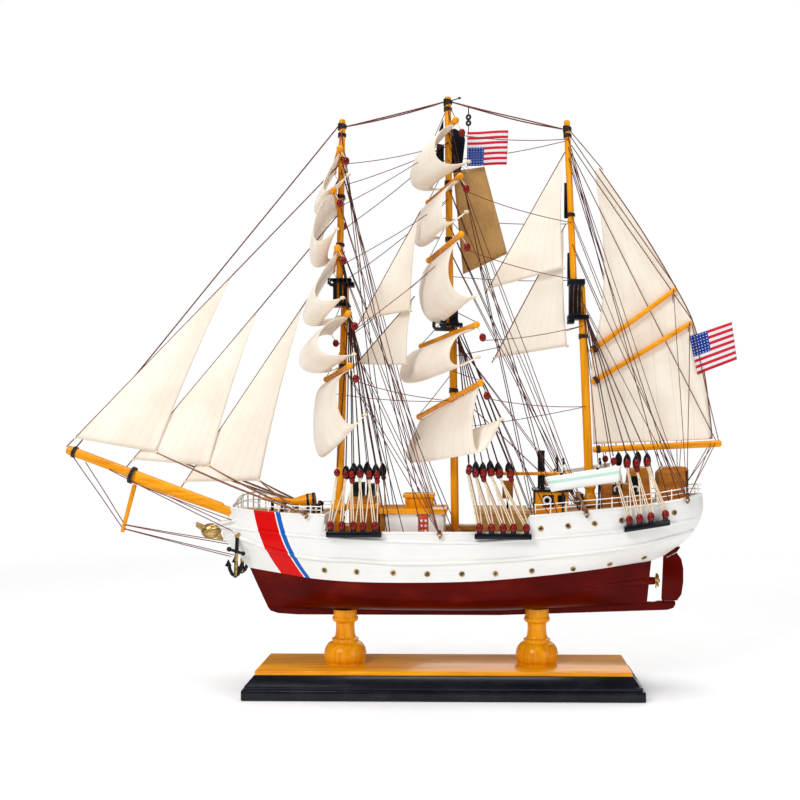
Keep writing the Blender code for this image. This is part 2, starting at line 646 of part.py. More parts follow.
# Each square sail: mast, height of its yard, half of its head, half of its foot, brace in degrees,
# rise of the yard's port end, profile as a curve of (forward, down), belly as (forward, down),
# and how far the port side blows out (forward, up)
SQUARE = {
    "fore_royal": (FORE_TOP, 393.2, 26.0, 33.0, 11.5, 3.0,
                   ((8.4, 12.1), (24.0, 45.0), (-7.0, 17.0)), (10.0, 9.0), (0.0, 0.0)),
    "fore_topgallant": (FORE_TOP, 361.5, 32.0, 40.0, 3.8, 3.0,
                        ((11.2, -5.3), (26.7, 56.0), (-3.0, 25.6)), (9.0, 12.0), (0.0, 0.0)),
    "fore_upper_topsail": (FORE_TOP, 319.2, 39.0, 46.0, 9.2, 3.0,
                           ((11.2, 12.4), (30.6, 43.3), (-4.5, 33.0)), (14.5, 12.0), (0.0, 0.0)),
    "fore_lower_topsail": (FORE_LOWER, 272.3, 46.0, 53.0, 14.5, 3.0,
                           ((16.8, -5.5), (41.3, 34.2), (-4.9, 26.2)), (13.5, 6.5), (0.0, 0.0)),
    "fore_course": (FORE_LOWER, 235.0, 51.0, 52.0, 15.6, 3.0,
                    ((19.0, 5.5), (5.3, 56.7), (-11.4, 31.5)), (20.0, 26.0), (0.0, 0.0)),
    "main_royal": (MAIN_TOP, 412.7, 28.0, 35.0, 18.7, 3.0,
                   ((16.9, -1.0), (25.5, 38.4), (-10.0, 28.0)), (17.0, 7.0), (0.0, 0.0)),
    "main_topgallant": (MAIN_TOP, 370.8, 35.0, 43.0, 19.4, 3.0,
                        ((14.1, -1.7), (21.2, 48.8), (-5.3, 23.4)), (9.0, 5.0), (0.0, 0.0)),
    "main_upper_topsail": (MAIN_TOP, 327.6, 42.0, 50.0, 16.7, 3.5,
                           ((10.2, 6.8), (15.1, 43.0), (-9.6, 42.0)), (11.0, 10.0), (0.0, 0.0)),
    "main_lower_topsail": (MAIN_LOWER, 262.6, 49.0, 56.0, 23.3, 4.5,
                           ((20.1, -1.3), (28.5, 41.1), (-2.4, 20.1)), (10.0, 5.0), (0.0, 0.0)),
    "main_course": (MAIN_LOWER, 214.3, 54.0, 56.0, 23.6, 11.6,
                    ((7.2, 17.6), (7.9, 78.0), (-16.0, 22.3)), (22.0, 6.0), (9.0, 14.0)),
}
YARD_RADIUS = 2.0
HEAD_STEPS = 8
LEECH_STEPS = 7
LACED = 0.97


def yard_ends(pole, z, half, brace):
    """Middle of a yard in front of its mast, and half of it as a vector to the port end."""
    mast = pole.at(z)
    middle = Vector((mast.x - pole.radius_at(z) - YARD_RADIUS + 0.7, mast.y, z))
    reach = Vector((half * math.tan(math.radians(brace)), -half, 0.0))
    return middle, reach


def bezier(t, points):
    """A cubic curve that starts at zero."""
    one, two, three = (Vector(point) for point in points)
    return 3 * t * (1 - t) ** 2 * one + 3 * t * t * (1 - t) * two + t ** 3 * three


def square_sail(name, pole, z, head, foot, brace, cant, profile, belly, lean):
    """A stiff square sail: laced to its yard, bellied forward, its foot curled aft."""
    middle, reach = yard_ends(pole, z, head, brace)
    reach.z = cant

    def point(across, t):
        s = across * 2 - 1
        forward, down = bezier(t, profile)
        width = head + (foot - head) * t
        swell = t ** 1.2 * (1 - s * s)
        skew = 6.75 * t * t * (1 - t) * (s + 1) / 2
        at = middle + reach * (-s * LACED)
        at.y = middle.y + s * width * LACED
        at.x -= forward + belly[0] * swell + lean[0] * skew
        at.z -= down + belly[1] * swell - lean[1] * skew + YARD_RADIUS + GAP + CLOTH * 0.7
        return at

    sheet(grid(name, point, HEAD_STEPS, LEECH_STEPS), CLOTH)


def mast_with_yards(name, pole, extras):
    """A mast made one solid with the yards that it carries."""
    shapes = list(extras)
    for pole_of, z, head, _, brace, cant, _, _, _ in SQUARE.values():
        if pole_of is not pole:
            continue
        middle, reach = yard_ends(pole, z, head + 1.0, brace)
        reach.z = cant
        port, starboard = middle + reach, middle - reach
        shapes += [rod(starboard, port, YARD_RADIUS, sides=6), ball(port, 2.7, segments=6, rings=4),
                   ball(starboard, 2.7, segments=6, rings=4)]
    keep(combine(name, pole.body(), shapes), name, VARNISH)


def doubling(pole, low, high, spread):
    """Black cheeks and cap round the two masts."""
    bottom, top = pole.at(low), pole.at(high)
    aft = Vector((spread, 0.4, 0.0))
    return [rod(bottom + aft, top + aft, 2.2, sides=8),
            block(bottom + Vector((-2.4, -1.6, -1.0)), bottom + Vector((6.0, 4.0, 1.2)))]


mast_with_yards("fore_lower_mast", FORE_LOWER, doubling(FORE_LOWER, 285.0, 304.0, 2.6))
mast_with_yards("fore_topmast", FORE_TOP, [])
mast_with_yards("main_lower_mast", MAIN_LOWER, doubling(MAIN_LOWER, 270.0, 284.0, 2.6))
mast_with_yards("main_topmast", MAIN_TOP, [])
mast_with_yards("mizzen_lower_mast", MIZZEN_LOWER, doubling(MIZZEN_LOWER, 279.0, 301.0, 2.6))
mast_with_yards("mizzen_topmast", MIZZEN_TOP, [])
for sail_name, settings in SQUARE.items():
    square_sail(sail_name, *settings)


# Fore-and-aft sails, each sewn to its own stay

def run_to(pole, start, way):
    """How far a line can run before it lies a hair from a mast or spar."""
    axis = (pole.head - pole.foot).normalized()
    for step in range(400):
        length = step * 0.05
        from_foot = start + way * length - pole.foot
        if (from_foot - axis * from_foot.dot(axis)).length < pole.radius + GAP + ROPE + 0.1:
            break
    return length


def stay_sail(name, head, tack, clew, bulge, below, above):
    """A three-cornered sail on its stay, which runs on past tack and head to a mast or a length."""
    head, tack, clew = Vector(head), Vector(tack), Vector(clew)
    tip = head + (clew - head).normalized() * 2.5

    def point(s, t):
        at = tack.lerp(head, t).lerp(clew.lerp(tip, t), s)
        at.y += bulge * math.sin(math.pi * s) * math.sin(math.pi * min(t + 0.15, 1.0))
        return at

    cloth = solid_from(sheet(grid("shape", point, 6, 6, cutters), CLOTH))
    way = (head - tack).normalized()
    if isinstance(below, Pole):
        below = run_to(below, tack, -way)
    if isinstance(above, Pole):
        above = run_to(above, head, way)
    stay = rod(tack - way * below, head + way * above, ROPE, sides=6)
    keep(combine(name, cloth, [stay]), name, CANVAS)


JIB_BOOM = Pole(JIB_BOOM_ROOT, JIB_BOOM_TIP, JIB_BOOM_RADIUS, JIB_BOOM_RADIUS)
stay_sail("outer_jib", (-159.3, -2.0, 306.4), (-276.0, -2.0, 186.5), (-215.0, -2.0, 175.9),
          -3.0, JIB_BOOM, 3.0)
stay_sail("middle_jib", (-140.0, 0.0, 280.9), (-233.0, 0.0, 170.6), (-175.8, 0.0, 165.8),
          -3.0, JIB_BOOM, 3.0)
stay_sail("inner_jib", (-106.4, 2.0, 284.2), (-194.4, 2.0, 153.8), (-138.3, 2.0, 154.6),
          -3.0, JIB_BOOM, 3.0)
stay_sail("main_upper_staysail", (-19.0, -4.0, 352.0), (-62.0, -1.0, 274.4), (-25.0, -4.0, 281.0),
          -1.5, FORE_LOWER, 1.0)
stay_sail("main_lower_staysail", (-24.0, 0.6, 290.0), (-66.0, 0.6, 241.5), (-28.0, 0.6, 241.3),
          1.0, FORE_LOWER, 1.0)
stay_sail("mizzen_upper_staysail", (88.0, -0.5, 396.0), (32.4, -4.0, 296.9), (88.0, -4.0, 312.3),
          -1.5, 4.0, MIZZEN_TOP)
stay_sail("mizzen_lower_staysail", (88.8, -0.6, 342.8), (37.3, 1.5, 246.1), (91.3, 1.5, 255.0),
          1.5, 4.0, MIZZEN_TOP)


# Spanker with its gaffs and boom

GAFF = 1.9
BOOM = 2.3
SPANKER_Y = 1.9
keep(rod((108.3, -0.7, 250.5), (171.6, -0.7, 296.9), GAFF, sides=10), "upper_gaff", VARNISH)
keep(rod((109.3, -0.7, 227.6), (183.5, -0.7, 272.2), GAFF, sides=10), "lower_gaff", VARNISH)
keep(rod((110.3, 0, 178.1), (205.1, 0, 182.6), BOOM, 2.6, sides=12), "spanker_boom", VARNISH)

LUFF = smooth_line([(181, 111.0), (240, 109.5), (285, 117.0), (326, 118.6), (387, 111.8)])
LEECH = smooth_line([(181, 198.4), (193, 198.0), (240, 192.0), (273, 184.3), (297, 172.4), (340, 147.0),
                     (387, 115.0)])
SPANKER_LOW = 181.0
SPANKER_HIGH = 387.0
SPANKER_BULGE = 1.5


def spanker_point(s, t):
    """A point of the spanker: s from luff to leech, t from the boom to the peak."""
    level = SPANKER_LOW + (SPANKER_HIGH - SPANKER_LOW) * t
    x = LUFF(level) + (LEECH(level) - LUFF(level)) * s
    foot = 181.9 + (x - 110.0) * 0.0474
    swell = SPANKER_BULGE * math.sin(math.pi * s) * math.sin(math.pi * t)
    return x, SPANKER_Y + swell, max(level, foot) if t else foot


sheet(grid("spanker", spanker_point, 6, 12), CLOTH)


# Shroud gangs: a black channel board with beads, lanyards and shrouds up to the mast

CHANNEL_THICK = 3.0
BEAD_FROM_SIDE = 3.0
BEAD_FROM_RAIL = 4.2
BEAD_FROM_EDGE = 2.4


def gang(name, side, board_x, board_z, lower, upper, mast_point, count=5):
    """One side's rigging of one mast, as a single piece."""
    rise = (board_z[1] - board_z[0]) / (board_x[1] - board_x[0])

    def board_top(x):
        return board_z[0] + rise * (x - board_x[0]) + CHANNEL_THICK / 2

    def against_side(x):
        return side_half(x, board_top(x)) + GAP

    def bead_y(x):
        return max(against_side(x) + BEAD_FROM_SIDE, SHEER_HALF(x) + BEAD_FROM_RAIL)

    places = [board_x[0] + (board_x[1] - board_x[0]) * i / 5 for i in range(6)]
    outline = [(x, against_side(x)) for x in places]
    outline += [(x, bead_y(x) + BEAD_FROM_EDGE) for x in (places[-1], places[0])]
    base = board(outline, board_z[0] - CHANNEL_THICK / 2, board_z[0] + CHANNEL_THICK / 2, upright=False)
    corner = Vector((board_x[0] * MM, 0, board_z[0] * MM))
    tilt = Matrix.Rotation(-math.atan(rise), 4, "Y")
    base.data.transform(Matrix.Translation(corner) @ tilt @ Matrix.Translation(-corner))
    shapes = []
    top = Vector(mast_point)
    for i in range(count):
        t = i / (count - 1)
        low_x = lower[0] + (lower[1] - lower[0]) * t
        high_x = upper[0] + (upper[1] - upper[0]) * t
        low = Vector((low_x, bead_y(low_x), board_top(low_x) + BEAD - 0.5))
        end = top + Vector((0.35 * (i - (count - 1) / 2), 0.0, -1.6 * i))
        share = (165.0 - low.z) / (end.z - low.z)
        high = Vector((high_x, low.y + (end.y - low.y) * share, 165.0 + (low.z - 123.0) * 0.6))
        shapes += [ball(low, BEAD, (0.85, 0.85, 1.0), 6, 4), ball(high, BEAD, (0.85, 0.85, 1.0), 6, 4),
                   rod(low, high, 0.8, sides=4), rod(high, end, SHROUD, sides=4)]
    made = combine(name, base, shapes)
    if side < 0:
        made.data.transform(Matrix.Scale(-1.0, 4, (0, 1, 0)))
        made.data.flip_normals()
    keep(made, name, BLACK)


for label, side in (("port", -1), ("starboard", 1)):
    gang(f"fore_shrouds_{label}", side, (-83.7, -43.8), (118.6, 118.6), (-80.5, -47.5), (-76.5, -48.0),
         (-70.2, 3.4, 283.0))
    gang(f"main_shrouds_{label}", side, (22.6, 63.2), (117.6, 117.2), (26.0, 59.5), (20.0, 47.0),
         (10.4, 3.6, 268.0))
    gang(f"mizzen_shrouds_{label}", side, (129.3, 162.6), (122.4, 127.0), (132.6, 159.4), (122.0, 147.0),
         (106.8, 3.4, 277.0), 4)


# Stays from masthead to masthead, and the flags

FORE_CROWN, MAIN_CROWN, MIZZEN_CROWN = 418.7, 436.5, 416.0


def collar(pole, z):
    """A rope band with a hair's play round a mast."""
    inner = pole.radius_at(z) + GAP
    centre = pole.at(z)
    outside = rod(centre - Vector((0, 0, 1.4)), centre + Vector((0, 0, 1.4)), inner + 0.9, sides=12)
    inside = rod(centre - Vector((0, 0, 3.0)), centre + Vector((0, 0, 3.0)), inner, sides=12)
    return outside, inside


def band_side(pole, z, way):
    """The middle of a band's wall, forward (-1) or aft (1) of its mast."""
    return pole.at(z) + Vector((way * (pole.radius_at(z) + GAP + 0.45), 0.0, 0.0))


bands, holes = [], []
for pole, z in ((FORE_TOP, FORE_CROWN), (MAIN_TOP, MAIN_CROWN), (MIZZEN_TOP, MIZZEN_CROWN)):
    outside, inside = collar(pole, z)
    bands.append(outside)
    holes.append(inside)
tip = JIB_BOOM.foot.lerp(JIB_BOOM.head, 0.953)
spar = (JIB_BOOM.head - JIB_BOOM.foot).normalized()
spar_up = Vector((spar.z, 0.0, -spar.x))
bands.append(rod(tip - spar * 1.4, tip + spar * 1.4, JIB_BOOM_RADIUS + GAP + 0.9, sides=12))
holes.append(rod(tip - spar * 4.0, tip + spar * 4.0, JIB_BOOM_RADIUS + GAP, sides=12))
main_aft, mizzen_fore = band_side(MAIN_TOP, MAIN_CROWN, 1), band_side(MIZZEN_TOP, MIZZEN_CROWN, -1)
lines = [rod(tip + spar_up * (JIB_BOOM_RADIUS + GAP + 0.5), band_side(FORE_TOP, FORE_CROWN, -1), ROPE, sides=6),
         rod(band_side(FORE_TOP, FORE_CROWN, 1), band_side(MAIN_TOP, MAIN_CROWN, -1), ROPE, sides=6),
         rod(main_aft, mizzen_fore, ROPE, sides=6)]
stays = combine("masthead_stays", bands[0], bands[1:] + lines)
keep(combine("masthead_stays", stays, holes, "DIFFERENCE"), "masthead_stays", ROPE_BROWN)


def flag(name, corners, y, sway, extras=()):
    """A small flag as a thin waved sheet."""
    lower_hoist, lower_fly, upper_fly, upper_hoist = (Vector(corner) for corner in corners)

    def point(s, t):
        at = lower_hoist.lerp(lower_fly, s).lerp(upper_hoist.lerp(upper_fly, s), t)
        return at.x, y + sway * math.sin(2.0 * math.pi * s), at.y

    made = solid_from(sheet(grid(name, point, 6, 3, cutters), FLAG_THICK))
    if extras:
        made = combine(name, made, list(extras))
    keep(made, name, FLAG)


flag("stern_flag", ((187.8, 233.7), (216.9, 244.9), (213.1, 272.7), (181.9, 261.9)), 0.9, 0.0)
line_share = (19.0 - main_aft.x) / (mizzen_fore.x - main_aft.x)
line_at = main_aft.lerp(mizzen_fore, line_share)
hanger = rod((19.0, line_at.y, 396.0), (19.0, line_at.y, line_at.z - ROPE - GAP - 0.2), 0.5, sides=6)
flag("masthead_flag", ((18.6, 388.9), (46.5, 389.6), (47.4, 415.3), (18.8, 414.6)), line_at.y, 0.8, [hanger])

for guide in list(cutters.objects):
    guide.hide_render = True
    guide.display_type = "WIRE"
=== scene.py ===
import math

import bmesh
import bpy
from mathutils import Matrix, Vector


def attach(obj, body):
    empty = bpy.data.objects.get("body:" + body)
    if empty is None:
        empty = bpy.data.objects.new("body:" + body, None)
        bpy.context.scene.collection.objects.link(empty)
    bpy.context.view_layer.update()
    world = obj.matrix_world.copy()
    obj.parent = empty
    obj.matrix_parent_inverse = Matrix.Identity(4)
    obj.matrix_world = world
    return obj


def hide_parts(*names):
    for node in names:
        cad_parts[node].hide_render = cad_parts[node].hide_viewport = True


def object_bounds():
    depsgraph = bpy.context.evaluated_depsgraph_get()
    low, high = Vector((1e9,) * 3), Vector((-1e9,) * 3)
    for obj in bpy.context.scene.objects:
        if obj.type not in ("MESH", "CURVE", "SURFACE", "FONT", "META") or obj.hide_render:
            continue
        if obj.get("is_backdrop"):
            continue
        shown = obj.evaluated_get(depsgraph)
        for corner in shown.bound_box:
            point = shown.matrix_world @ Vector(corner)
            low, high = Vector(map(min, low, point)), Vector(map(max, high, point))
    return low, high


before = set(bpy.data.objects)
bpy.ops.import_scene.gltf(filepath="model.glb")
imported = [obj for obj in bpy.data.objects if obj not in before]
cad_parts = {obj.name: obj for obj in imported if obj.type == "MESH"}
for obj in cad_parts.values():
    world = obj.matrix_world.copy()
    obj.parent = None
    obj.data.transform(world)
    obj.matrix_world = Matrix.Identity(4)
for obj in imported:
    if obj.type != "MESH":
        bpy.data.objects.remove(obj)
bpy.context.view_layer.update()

# Photographer's table: the model stands on white paper under large soft lamps, and the camera
# looks at it level with the middle of the masts from less than a metre away.
CAMERA_AT = (0.0243, -0.915, 0.1985)
CAMERA_TURN = math.radians(1.2)
FOCAL_LENGTH = 55.35
PICTURE_SHIFT = (-0.064, 0.0275)
MIDDLE_OF_MASTS = Vector((0.0, 0.0, 0.18))
ROOM_LIGHT = 0.38
BACKDROP_LIGHT = 0.62
MIRRORED_LIGHT = -0.30
PAPER_RADIUS = 1.05
PAPER_Z = -0.0003
PAPER_FADE = 0.9
PAPER_EDGE = 1.6

lens = bpy.data.cameras.new("camera")
lens.lens = FOCAL_LENGTH
lens.sensor_width = 36.0
lens.shift_x, lens.shift_y = PICTURE_SHIFT
lens.clip_start = 0.01
camera = bpy.data.objects.new("camera", lens)
camera.location = CAMERA_AT
camera.rotation_euler = (math.pi / 2, 0.0, CAMERA_TURN)
bpy.context.scene.collection.objects.link(camera)
bpy.context.scene.camera = camera
bpy.context.scene.view_settings.view_transform = "Standard"


def lamp(name, place, size, power):
    """A square soft lamp that faces the middle of the model."""
    data = bpy.data.lights.new(name, "AREA")
    data.size = size
    data.energy = power
    made = bpy.data.objects.new(name, data)
    made.location = place
    aim = MIDDLE_OF_MASTS - Vector(place)
    made.rotation_euler = aim.to_track_quat("-Z", "Y").to_euler()
    bpy.context.scene.collection.objects.link(made)


lamp("key_lamp", (-0.9, -1.5, 1.2), 0.7, 19.0)
lamp("fill_lamp", (1.5, -1.2, 0.5), 1.0, 6.5)
lamp("back_lamp", (0.4, 1.6, 1.0), 1.2, 8.0)
lamp("top_lamp", (0.0, -0.1, 1.9), 1.0, 20.0)
world = bpy.data.worlds.new("white_room")
world.use_nodes = True
world.node_tree.nodes["Background"].inputs["Color"].default_value = (1.0, 1.0, 1.0, 1.0)
room = world.node_tree
seen = room.nodes.new("ShaderNodeLightPath")
lit, mirrored_less = (room.nodes.new("ShaderNodeMath") for _ in range(2))
for blend, ray, gain in ((lit, "Is Camera Ray", BACKDROP_LIGHT),
                         (mirrored_less, "Is Glossy Ray", MIRRORED_LIGHT)):
    blend.operation = "MULTIPLY_ADD"
    blend.inputs[1].default_value = gain
    room.links.new(seen.outputs[ray], blend.inputs[0])
lit.inputs[2].default_value = ROOM_LIGHT
room.links.new(lit.outputs[0], mirrored_less.inputs[2])
room.links.new(mirrored_less.outputs[0], room.nodes["Background"].inputs["Strength"])
bpy.context.scene.world = world


class Value:
    """A node's output that takes part in sums: each operator adds a Math node."""

    def __init__(self, paint, socket):
        self.paint = paint
        self.socket = socket

    def maths(self, operation, *terms):
        return self.paint.node("ShaderNodeMath", {"operation": operation}, dict(enumerate(terms)))

    def __add__(self, other):
        return self.maths("ADD", self, other)

    def __sub__(self, other):
        return self.maths("SUBTRACT", self, other)

    def __rsub__(self, other):
        return self.maths("SUBTRACT", other, self)

    def __mul__(self, other):
        return self.maths("MULTIPLY", self, other)

    def __gt__(self, other):
        return self.maths("GREATER_THAN", self, other)

    def __lt__(self, other):
        return self.maths("LESS_THAN", self, other)

    __radd__ = __add__
    __rmul__ = __mul__

    def fraction(self):
        return self.maths("FRACT", self)

    def larger(self, other):
        return self.maths("MAXIMUM", self, other)

    def distance(self, other):
        return self.maths("ABSOLUTE", self - other)


class Paint:
    """A finish made of nodes on one Principled shader."""

    def __init__(self, name, **fixed):
        self.material = bpy.data.materials.new(name)
        self.material.use_nodes = True
        self.tree = self.material.node_tree
        self.shader = self.tree.nodes["Principled BSDF"]
        for socket, value in fixed.items():
            self.shader.inputs[socket.replace("_", " ")].default_value = value

    def node(self, kind, settings=None, inputs=None, output=0):
        """Add a node: its settings first, then the values or links of its sockets."""
        made = self.tree.nodes.new(kind)
        for key, value in (settings or {}).items():
            if key == "stops":
                ends = made.color_ramp.elements
                for element, (place, colour) in ((ends[0], value[0]), (ends[1], value[-1])):
                    element.position = place
                    element.color = (*colour, 1.0)
                for place, colour in value[1:-1]:
                    ends.new(place).color = (*colour, 1.0)
            else:
                setattr(made, key, value)
        for key, value in (inputs or {}).items():
            if isinstance(value, Value):
                self.tree.links.new(value.socket, made.inputs[key])
            else:
                made.inputs[key].default_value = value
        return Value(self, made.outputs[output])

    def spot(self, stretch=(1.0, 1.0, 1.0)):
        """Where a point lies on the piece, stretched along each axis."""
        place = self.node("ShaderNodeTexCoord", output="Object")
        return self.node("ShaderNodeMapping", inputs={"Vector": place, "Scale": stretch})

    def axes(self, source="Object"):
        """The three parts of a point's place, direction or map place as numbers."""
        place = self.node("ShaderNodeTexCoord", output=source)
        parts = self.tree.nodes.new("ShaderNodeSeparateXYZ")
        self.tree.links.new(place.socket, parts.inputs[0])
        return [Value(self, parts.outputs[i]) for i in range(3)]

    def noise(self, place, scale, detail=3.0):
        return self.node("ShaderNodeTexNoise", inputs={"Vector": place, "Scale": scale, "Detail": detail})

    def ramp(self, amount, *stops):
        return self.node("ShaderNodeValToRGB", {"stops": stops}, {0: amount})

    def mix(self, share, first, second):
        """One colour where share is 0 and the other where it is 1."""
        colours = [c if isinstance(c, Value) else (*c, 1.0) for c in (first, second)]
        return self.node("ShaderNodeMix", {"data_type": "RGBA"},
                         {0: share, 6: colours[0], 7: colours[1]}, output=2)

    def feed(self, socket, value):
        self.tree.links.new(value.socket, self.shader.inputs[socket])

    def bump(self, height, strength, distance):
        self.feed("Normal", self.node("ShaderNodeBump", inputs={
            "Height": height, "Strength": strength, "Distance": distance}))


paper = Paint("white_paper", Roughness=0.9)
paper_grain = paper.noise(paper.spot(), 40.0)
paper.feed("Base Color", paper.ramp(paper_grain, (0.3, (0.95, 0.95, 0.95)), (0.7, (0.97, 0.97, 0.97))))
paper_x, paper_y, _ = paper.axes()
paper_spread = (paper_x * paper_x + paper_y * paper_y) * PAPER_FADE
paper.feed("Alpha", (1.0 - paper_spread) * PAPER_EDGE)
floor_shape = bmesh.new()
bmesh.ops.create_circle(floor_shape, cap_ends=True, segments=96, radius=PAPER_RADIUS,
                        matrix=Matrix.Translation((0.0, 0.0, PAPER_Z)))
floor_mesh = bpy.data.meshes.new("paper_floor")
floor_shape.to_mesh(floor_mesh)
floor_shape.free()
floor_mesh.materials.append(paper.material)
floor = bpy.data.objects.new("paper_floor", floor_mesh)
bpy.context.scene.collection.objects.link(floor)
floor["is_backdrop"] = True

# Plinth: two black lacquered boards with a sloped moulding glued up under a varnished top board.
# The lacquer is smooth, with slightly worn edges, and the top board's grain runs lengthwise.
MM = 0.001
CORNER_ANGLE = 0.6
SHARP_ANGLE = math.radians(40.0)
BASE = (288.0, 86.0)
SLAB_TOP = 7.3
COVE_TOP = 10.0
COVE_INSET = 2.0
PLATE = (271.0, 68.4)
PLATE_LOW = 16.5
BASE_TOP = 19.5


def add(bm, part, matrix=None):
    """Put one mesh into another."""
    if matrix is not None:
        bmesh.ops.transform(part, matrix=matrix, verts=part.verts)
    mesh = bpy.data.meshes.new("part")
    part.to_mesh(mesh)
    part.free()
    bm.from_mesh(mesh)
    bpy.data.meshes.remove(mesh)


def ease(part, width):
    """Round every edge that is a real corner."""
    corners = [edge for edge in part.edges
               if edge.is_manifold and edge.calc_face_angle(0.0) > CORNER_ANGLE]
    bmesh.ops.bevel(part, geom=corners, affect="EDGES", offset=width, segments=2,
                    profile=0.5, material=-1, clamp_overlap=True)


def block(bm, low, high, edge):
    """Add a box between two corners, its edges rounded."""
    low, high = Vector(low), Vector(high)
    part = bmesh.new()
    matrix = Matrix.Translation((low + high) / 2) @ Matrix.Diagonal((*(high - low), 1.0))
    bmesh.ops.create_cube(part, size=1.0, matrix=matrix)
    ease(part, edge)
    add(bm, part)


def piece(name, bm, paint, replaced=(), body="ship"):
    """Turn a mesh drawn in millimetres into a painted piece in metres that rides on a body."""
    bmesh.ops.scale(bm, vec=(MM, MM, MM), verts=bm.verts)
    mesh = bpy.data.meshes.new(name)
    bm.to_mesh(mesh)
    bm.free()
    mesh.shade_smooth()
    mesh.set_sharp_from_angle(angle=SHARP_ANGLE)
    mesh.materials.append(paint.material)
    made = bpy.data.objects.new(name, mesh)
    bpy.context.scene.collection.objects.link(made)
    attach(made, body)
    if replaced:
        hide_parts(*replaced)
    return made


def lacquer(name, colour, worn, roughness):
    """Glossy brushed lacquer with a soft unevenness and rubbed patches."""
    paint = Paint(name, Coat_Weight=0.15, Coat_Roughness=0.08, Specular_IOR_Level=0.2)
    patches = paint.noise(paint.spot(), 60.0, 5.0)
    brushed = paint.noise(paint.spot((40.0, 600.0, 600.0)), 1.0, 4.0)
    paint.feed("Base Color", paint.ramp(patches, (0.45, colour), (0.85, worn)))
    paint.feed("Roughness", roughness + brushed * 0.12 + patches * 0.08)
    paint.bump(brushed * 0.7 + patches * 0.5, 0.12, 0.0004)
    return paint


def varnish(name, stretch, dark, middle, light):
    """Clear varnish over pale wood; the grain is long along the axis with the small stretch."""
    paint = Paint(name, Coat_Weight=0.22, Coat_Roughness=0.07, Specular_IOR_Level=0.12)
    grain = paint.noise(paint.spot(stretch), 1.0, 6.0)
    rings = paint.noise(paint.spot([value * 0.24 for value in stretch]), 1.0, 2.0)
    figure = grain * 0.55 + rings * 0.45
    paint.feed("Base Color", paint.ramp(figure, (0.3, dark), (0.5, middle), (0.7, light)))
    paint.feed("Roughness", 0.22 + grain * 0.16)
    paint.bump(grain, 0.1, 0.0003)
    return paint


HONEY = ((0.59, 0.175, 0.002), (0.85, 0.32, 0.003), (0.96, 0.43, 0.010))
black_lacquer = lacquer("black_lacquer", (0.003, 0.004, 0.008), (0.012, 0.014, 0.02), 0.16)
varnish_along = varnish("honey_varnish_along", (35.0, 500.0, 500.0), *HONEY)

plinth = bmesh.new()
block(plinth, (-BASE[0] / 2, -BASE[1] / 2, 0.0), (BASE[0] / 2, BASE[1] / 2, SLAB_TOP), 0.9)
cove = [side / 2 - COVE_INSET for side in BASE]
GLUED_IN = 1.0
block(plinth, (-cove[0], -cove[1], SLAB_TOP - GLUED_IN), (cove[0], cove[1], COVE_TOP), 0.6)
slope = bmesh.new()
bmesh.ops.create_cube(slope, size=1.0)
for corner in slope.verts:
    low = corner.co.z < 0
    reach = [(value - 1.0) * 2 for value in cove] if low else [value + 1.0 for value in PLATE]
    height = COVE_TOP - GLUED_IN if low else PLATE_LOW - 0.05
    corner.co = (corner.co.x * reach[0], corner.co.y * reach[1], height)
ease(slope, 0.5)
add(plinth, slope)
piece("stand_plinth", plinth, black_lacquer, ["base_plinth"])

top_board = bmesh.new()
block(top_board, (-PLATE[0] / 2, -PLATE[1] / 2, PLATE_LOW), (PLATE[0] / 2, PLATE[1] / 2, BASE_TOP), 0.5)
piece("stand_top_board", top_board, varnish_along, ["base_top_plate"])

# Two pillars turned from one piece of wood each, with a ball foot, a waist and a collar, glued
# between the top board and the keel. Their varnish is the masts' varnish, its grain upright.
PILLAR_X = (-73.8, 68.8)
SADDLE_Z = 54.0
KEEL_FLAT_TO_X = 41.0
KEEL_Z = 55.1
KEEL_RISE = 4.3 / 124.0
PILLAR_PROFILE = (
    (0.0, 59.2), (8.9, 59.2), (8.9, 54.4), (9.5, 53.4), (9.6, 51.6), (8.6, 50.4), (7.2, 49.4),
    (6.9, 46.0), (7.4, 40.5), (8.2, 38.4), (10.0, 37.6), (10.0, 35.6), (12.4, 34.2), (14.7, 31.0),
    (15.8, 27.0), (15.6, 22.8), (14.6, 20.6), (14.6, 19.5), (0.0, 19.5),
)


def keel_bottom(x):
    """Height of the keel's underside."""
    return KEEL_Z + max(0.0, x - KEEL_FLAT_TO_X) * KEEL_RISE


def rounded(profile, steps=4):
    """A profile with its curves made smooth by extra points."""
    points = []
    for i in range(len(profile) - 1):
        before, start = Vector(profile[max(i - 1, 0)]), Vector(profile[i])
        end, after = Vector(profile[i + 1]), Vector(profile[min(i + 2, len(profile) - 1)])
        for k in range(steps):
            t = k / steps
            bend = (end - before) * (t ** 3 - 2 * t * t + t) + (after - start) * (t ** 3 - t * t)
            points.append(start.lerp(end, 3 * t * t - 2 * t ** 3) + bend * 0.42)
    return points + [Vector(profile[-1])]


def turned(bm, profile, matrix, steps):
    """Spin a profile of (radius, height) about the upright axis."""
    part = bmesh.new()
    points = [part.verts.new((max(radius, 0.0), 0.0, z)) for radius, z in profile]
    edges = [part.edges.new(pair) for pair in zip(points, points[1:])]
    bmesh.ops.spin(part, geom=points + edges, cent=(0.0, 0.0, 0.0), axis=(0.0, 0.0, 1.0),
                   angle=2 * math.pi, steps=steps, use_merge=True)
    bmesh.ops.remove_doubles(part, verts=part.verts, dist=0.0005)
    bmesh.ops.recalc_face_normals(part, faces=part.faces)
    add(bm, part, matrix)


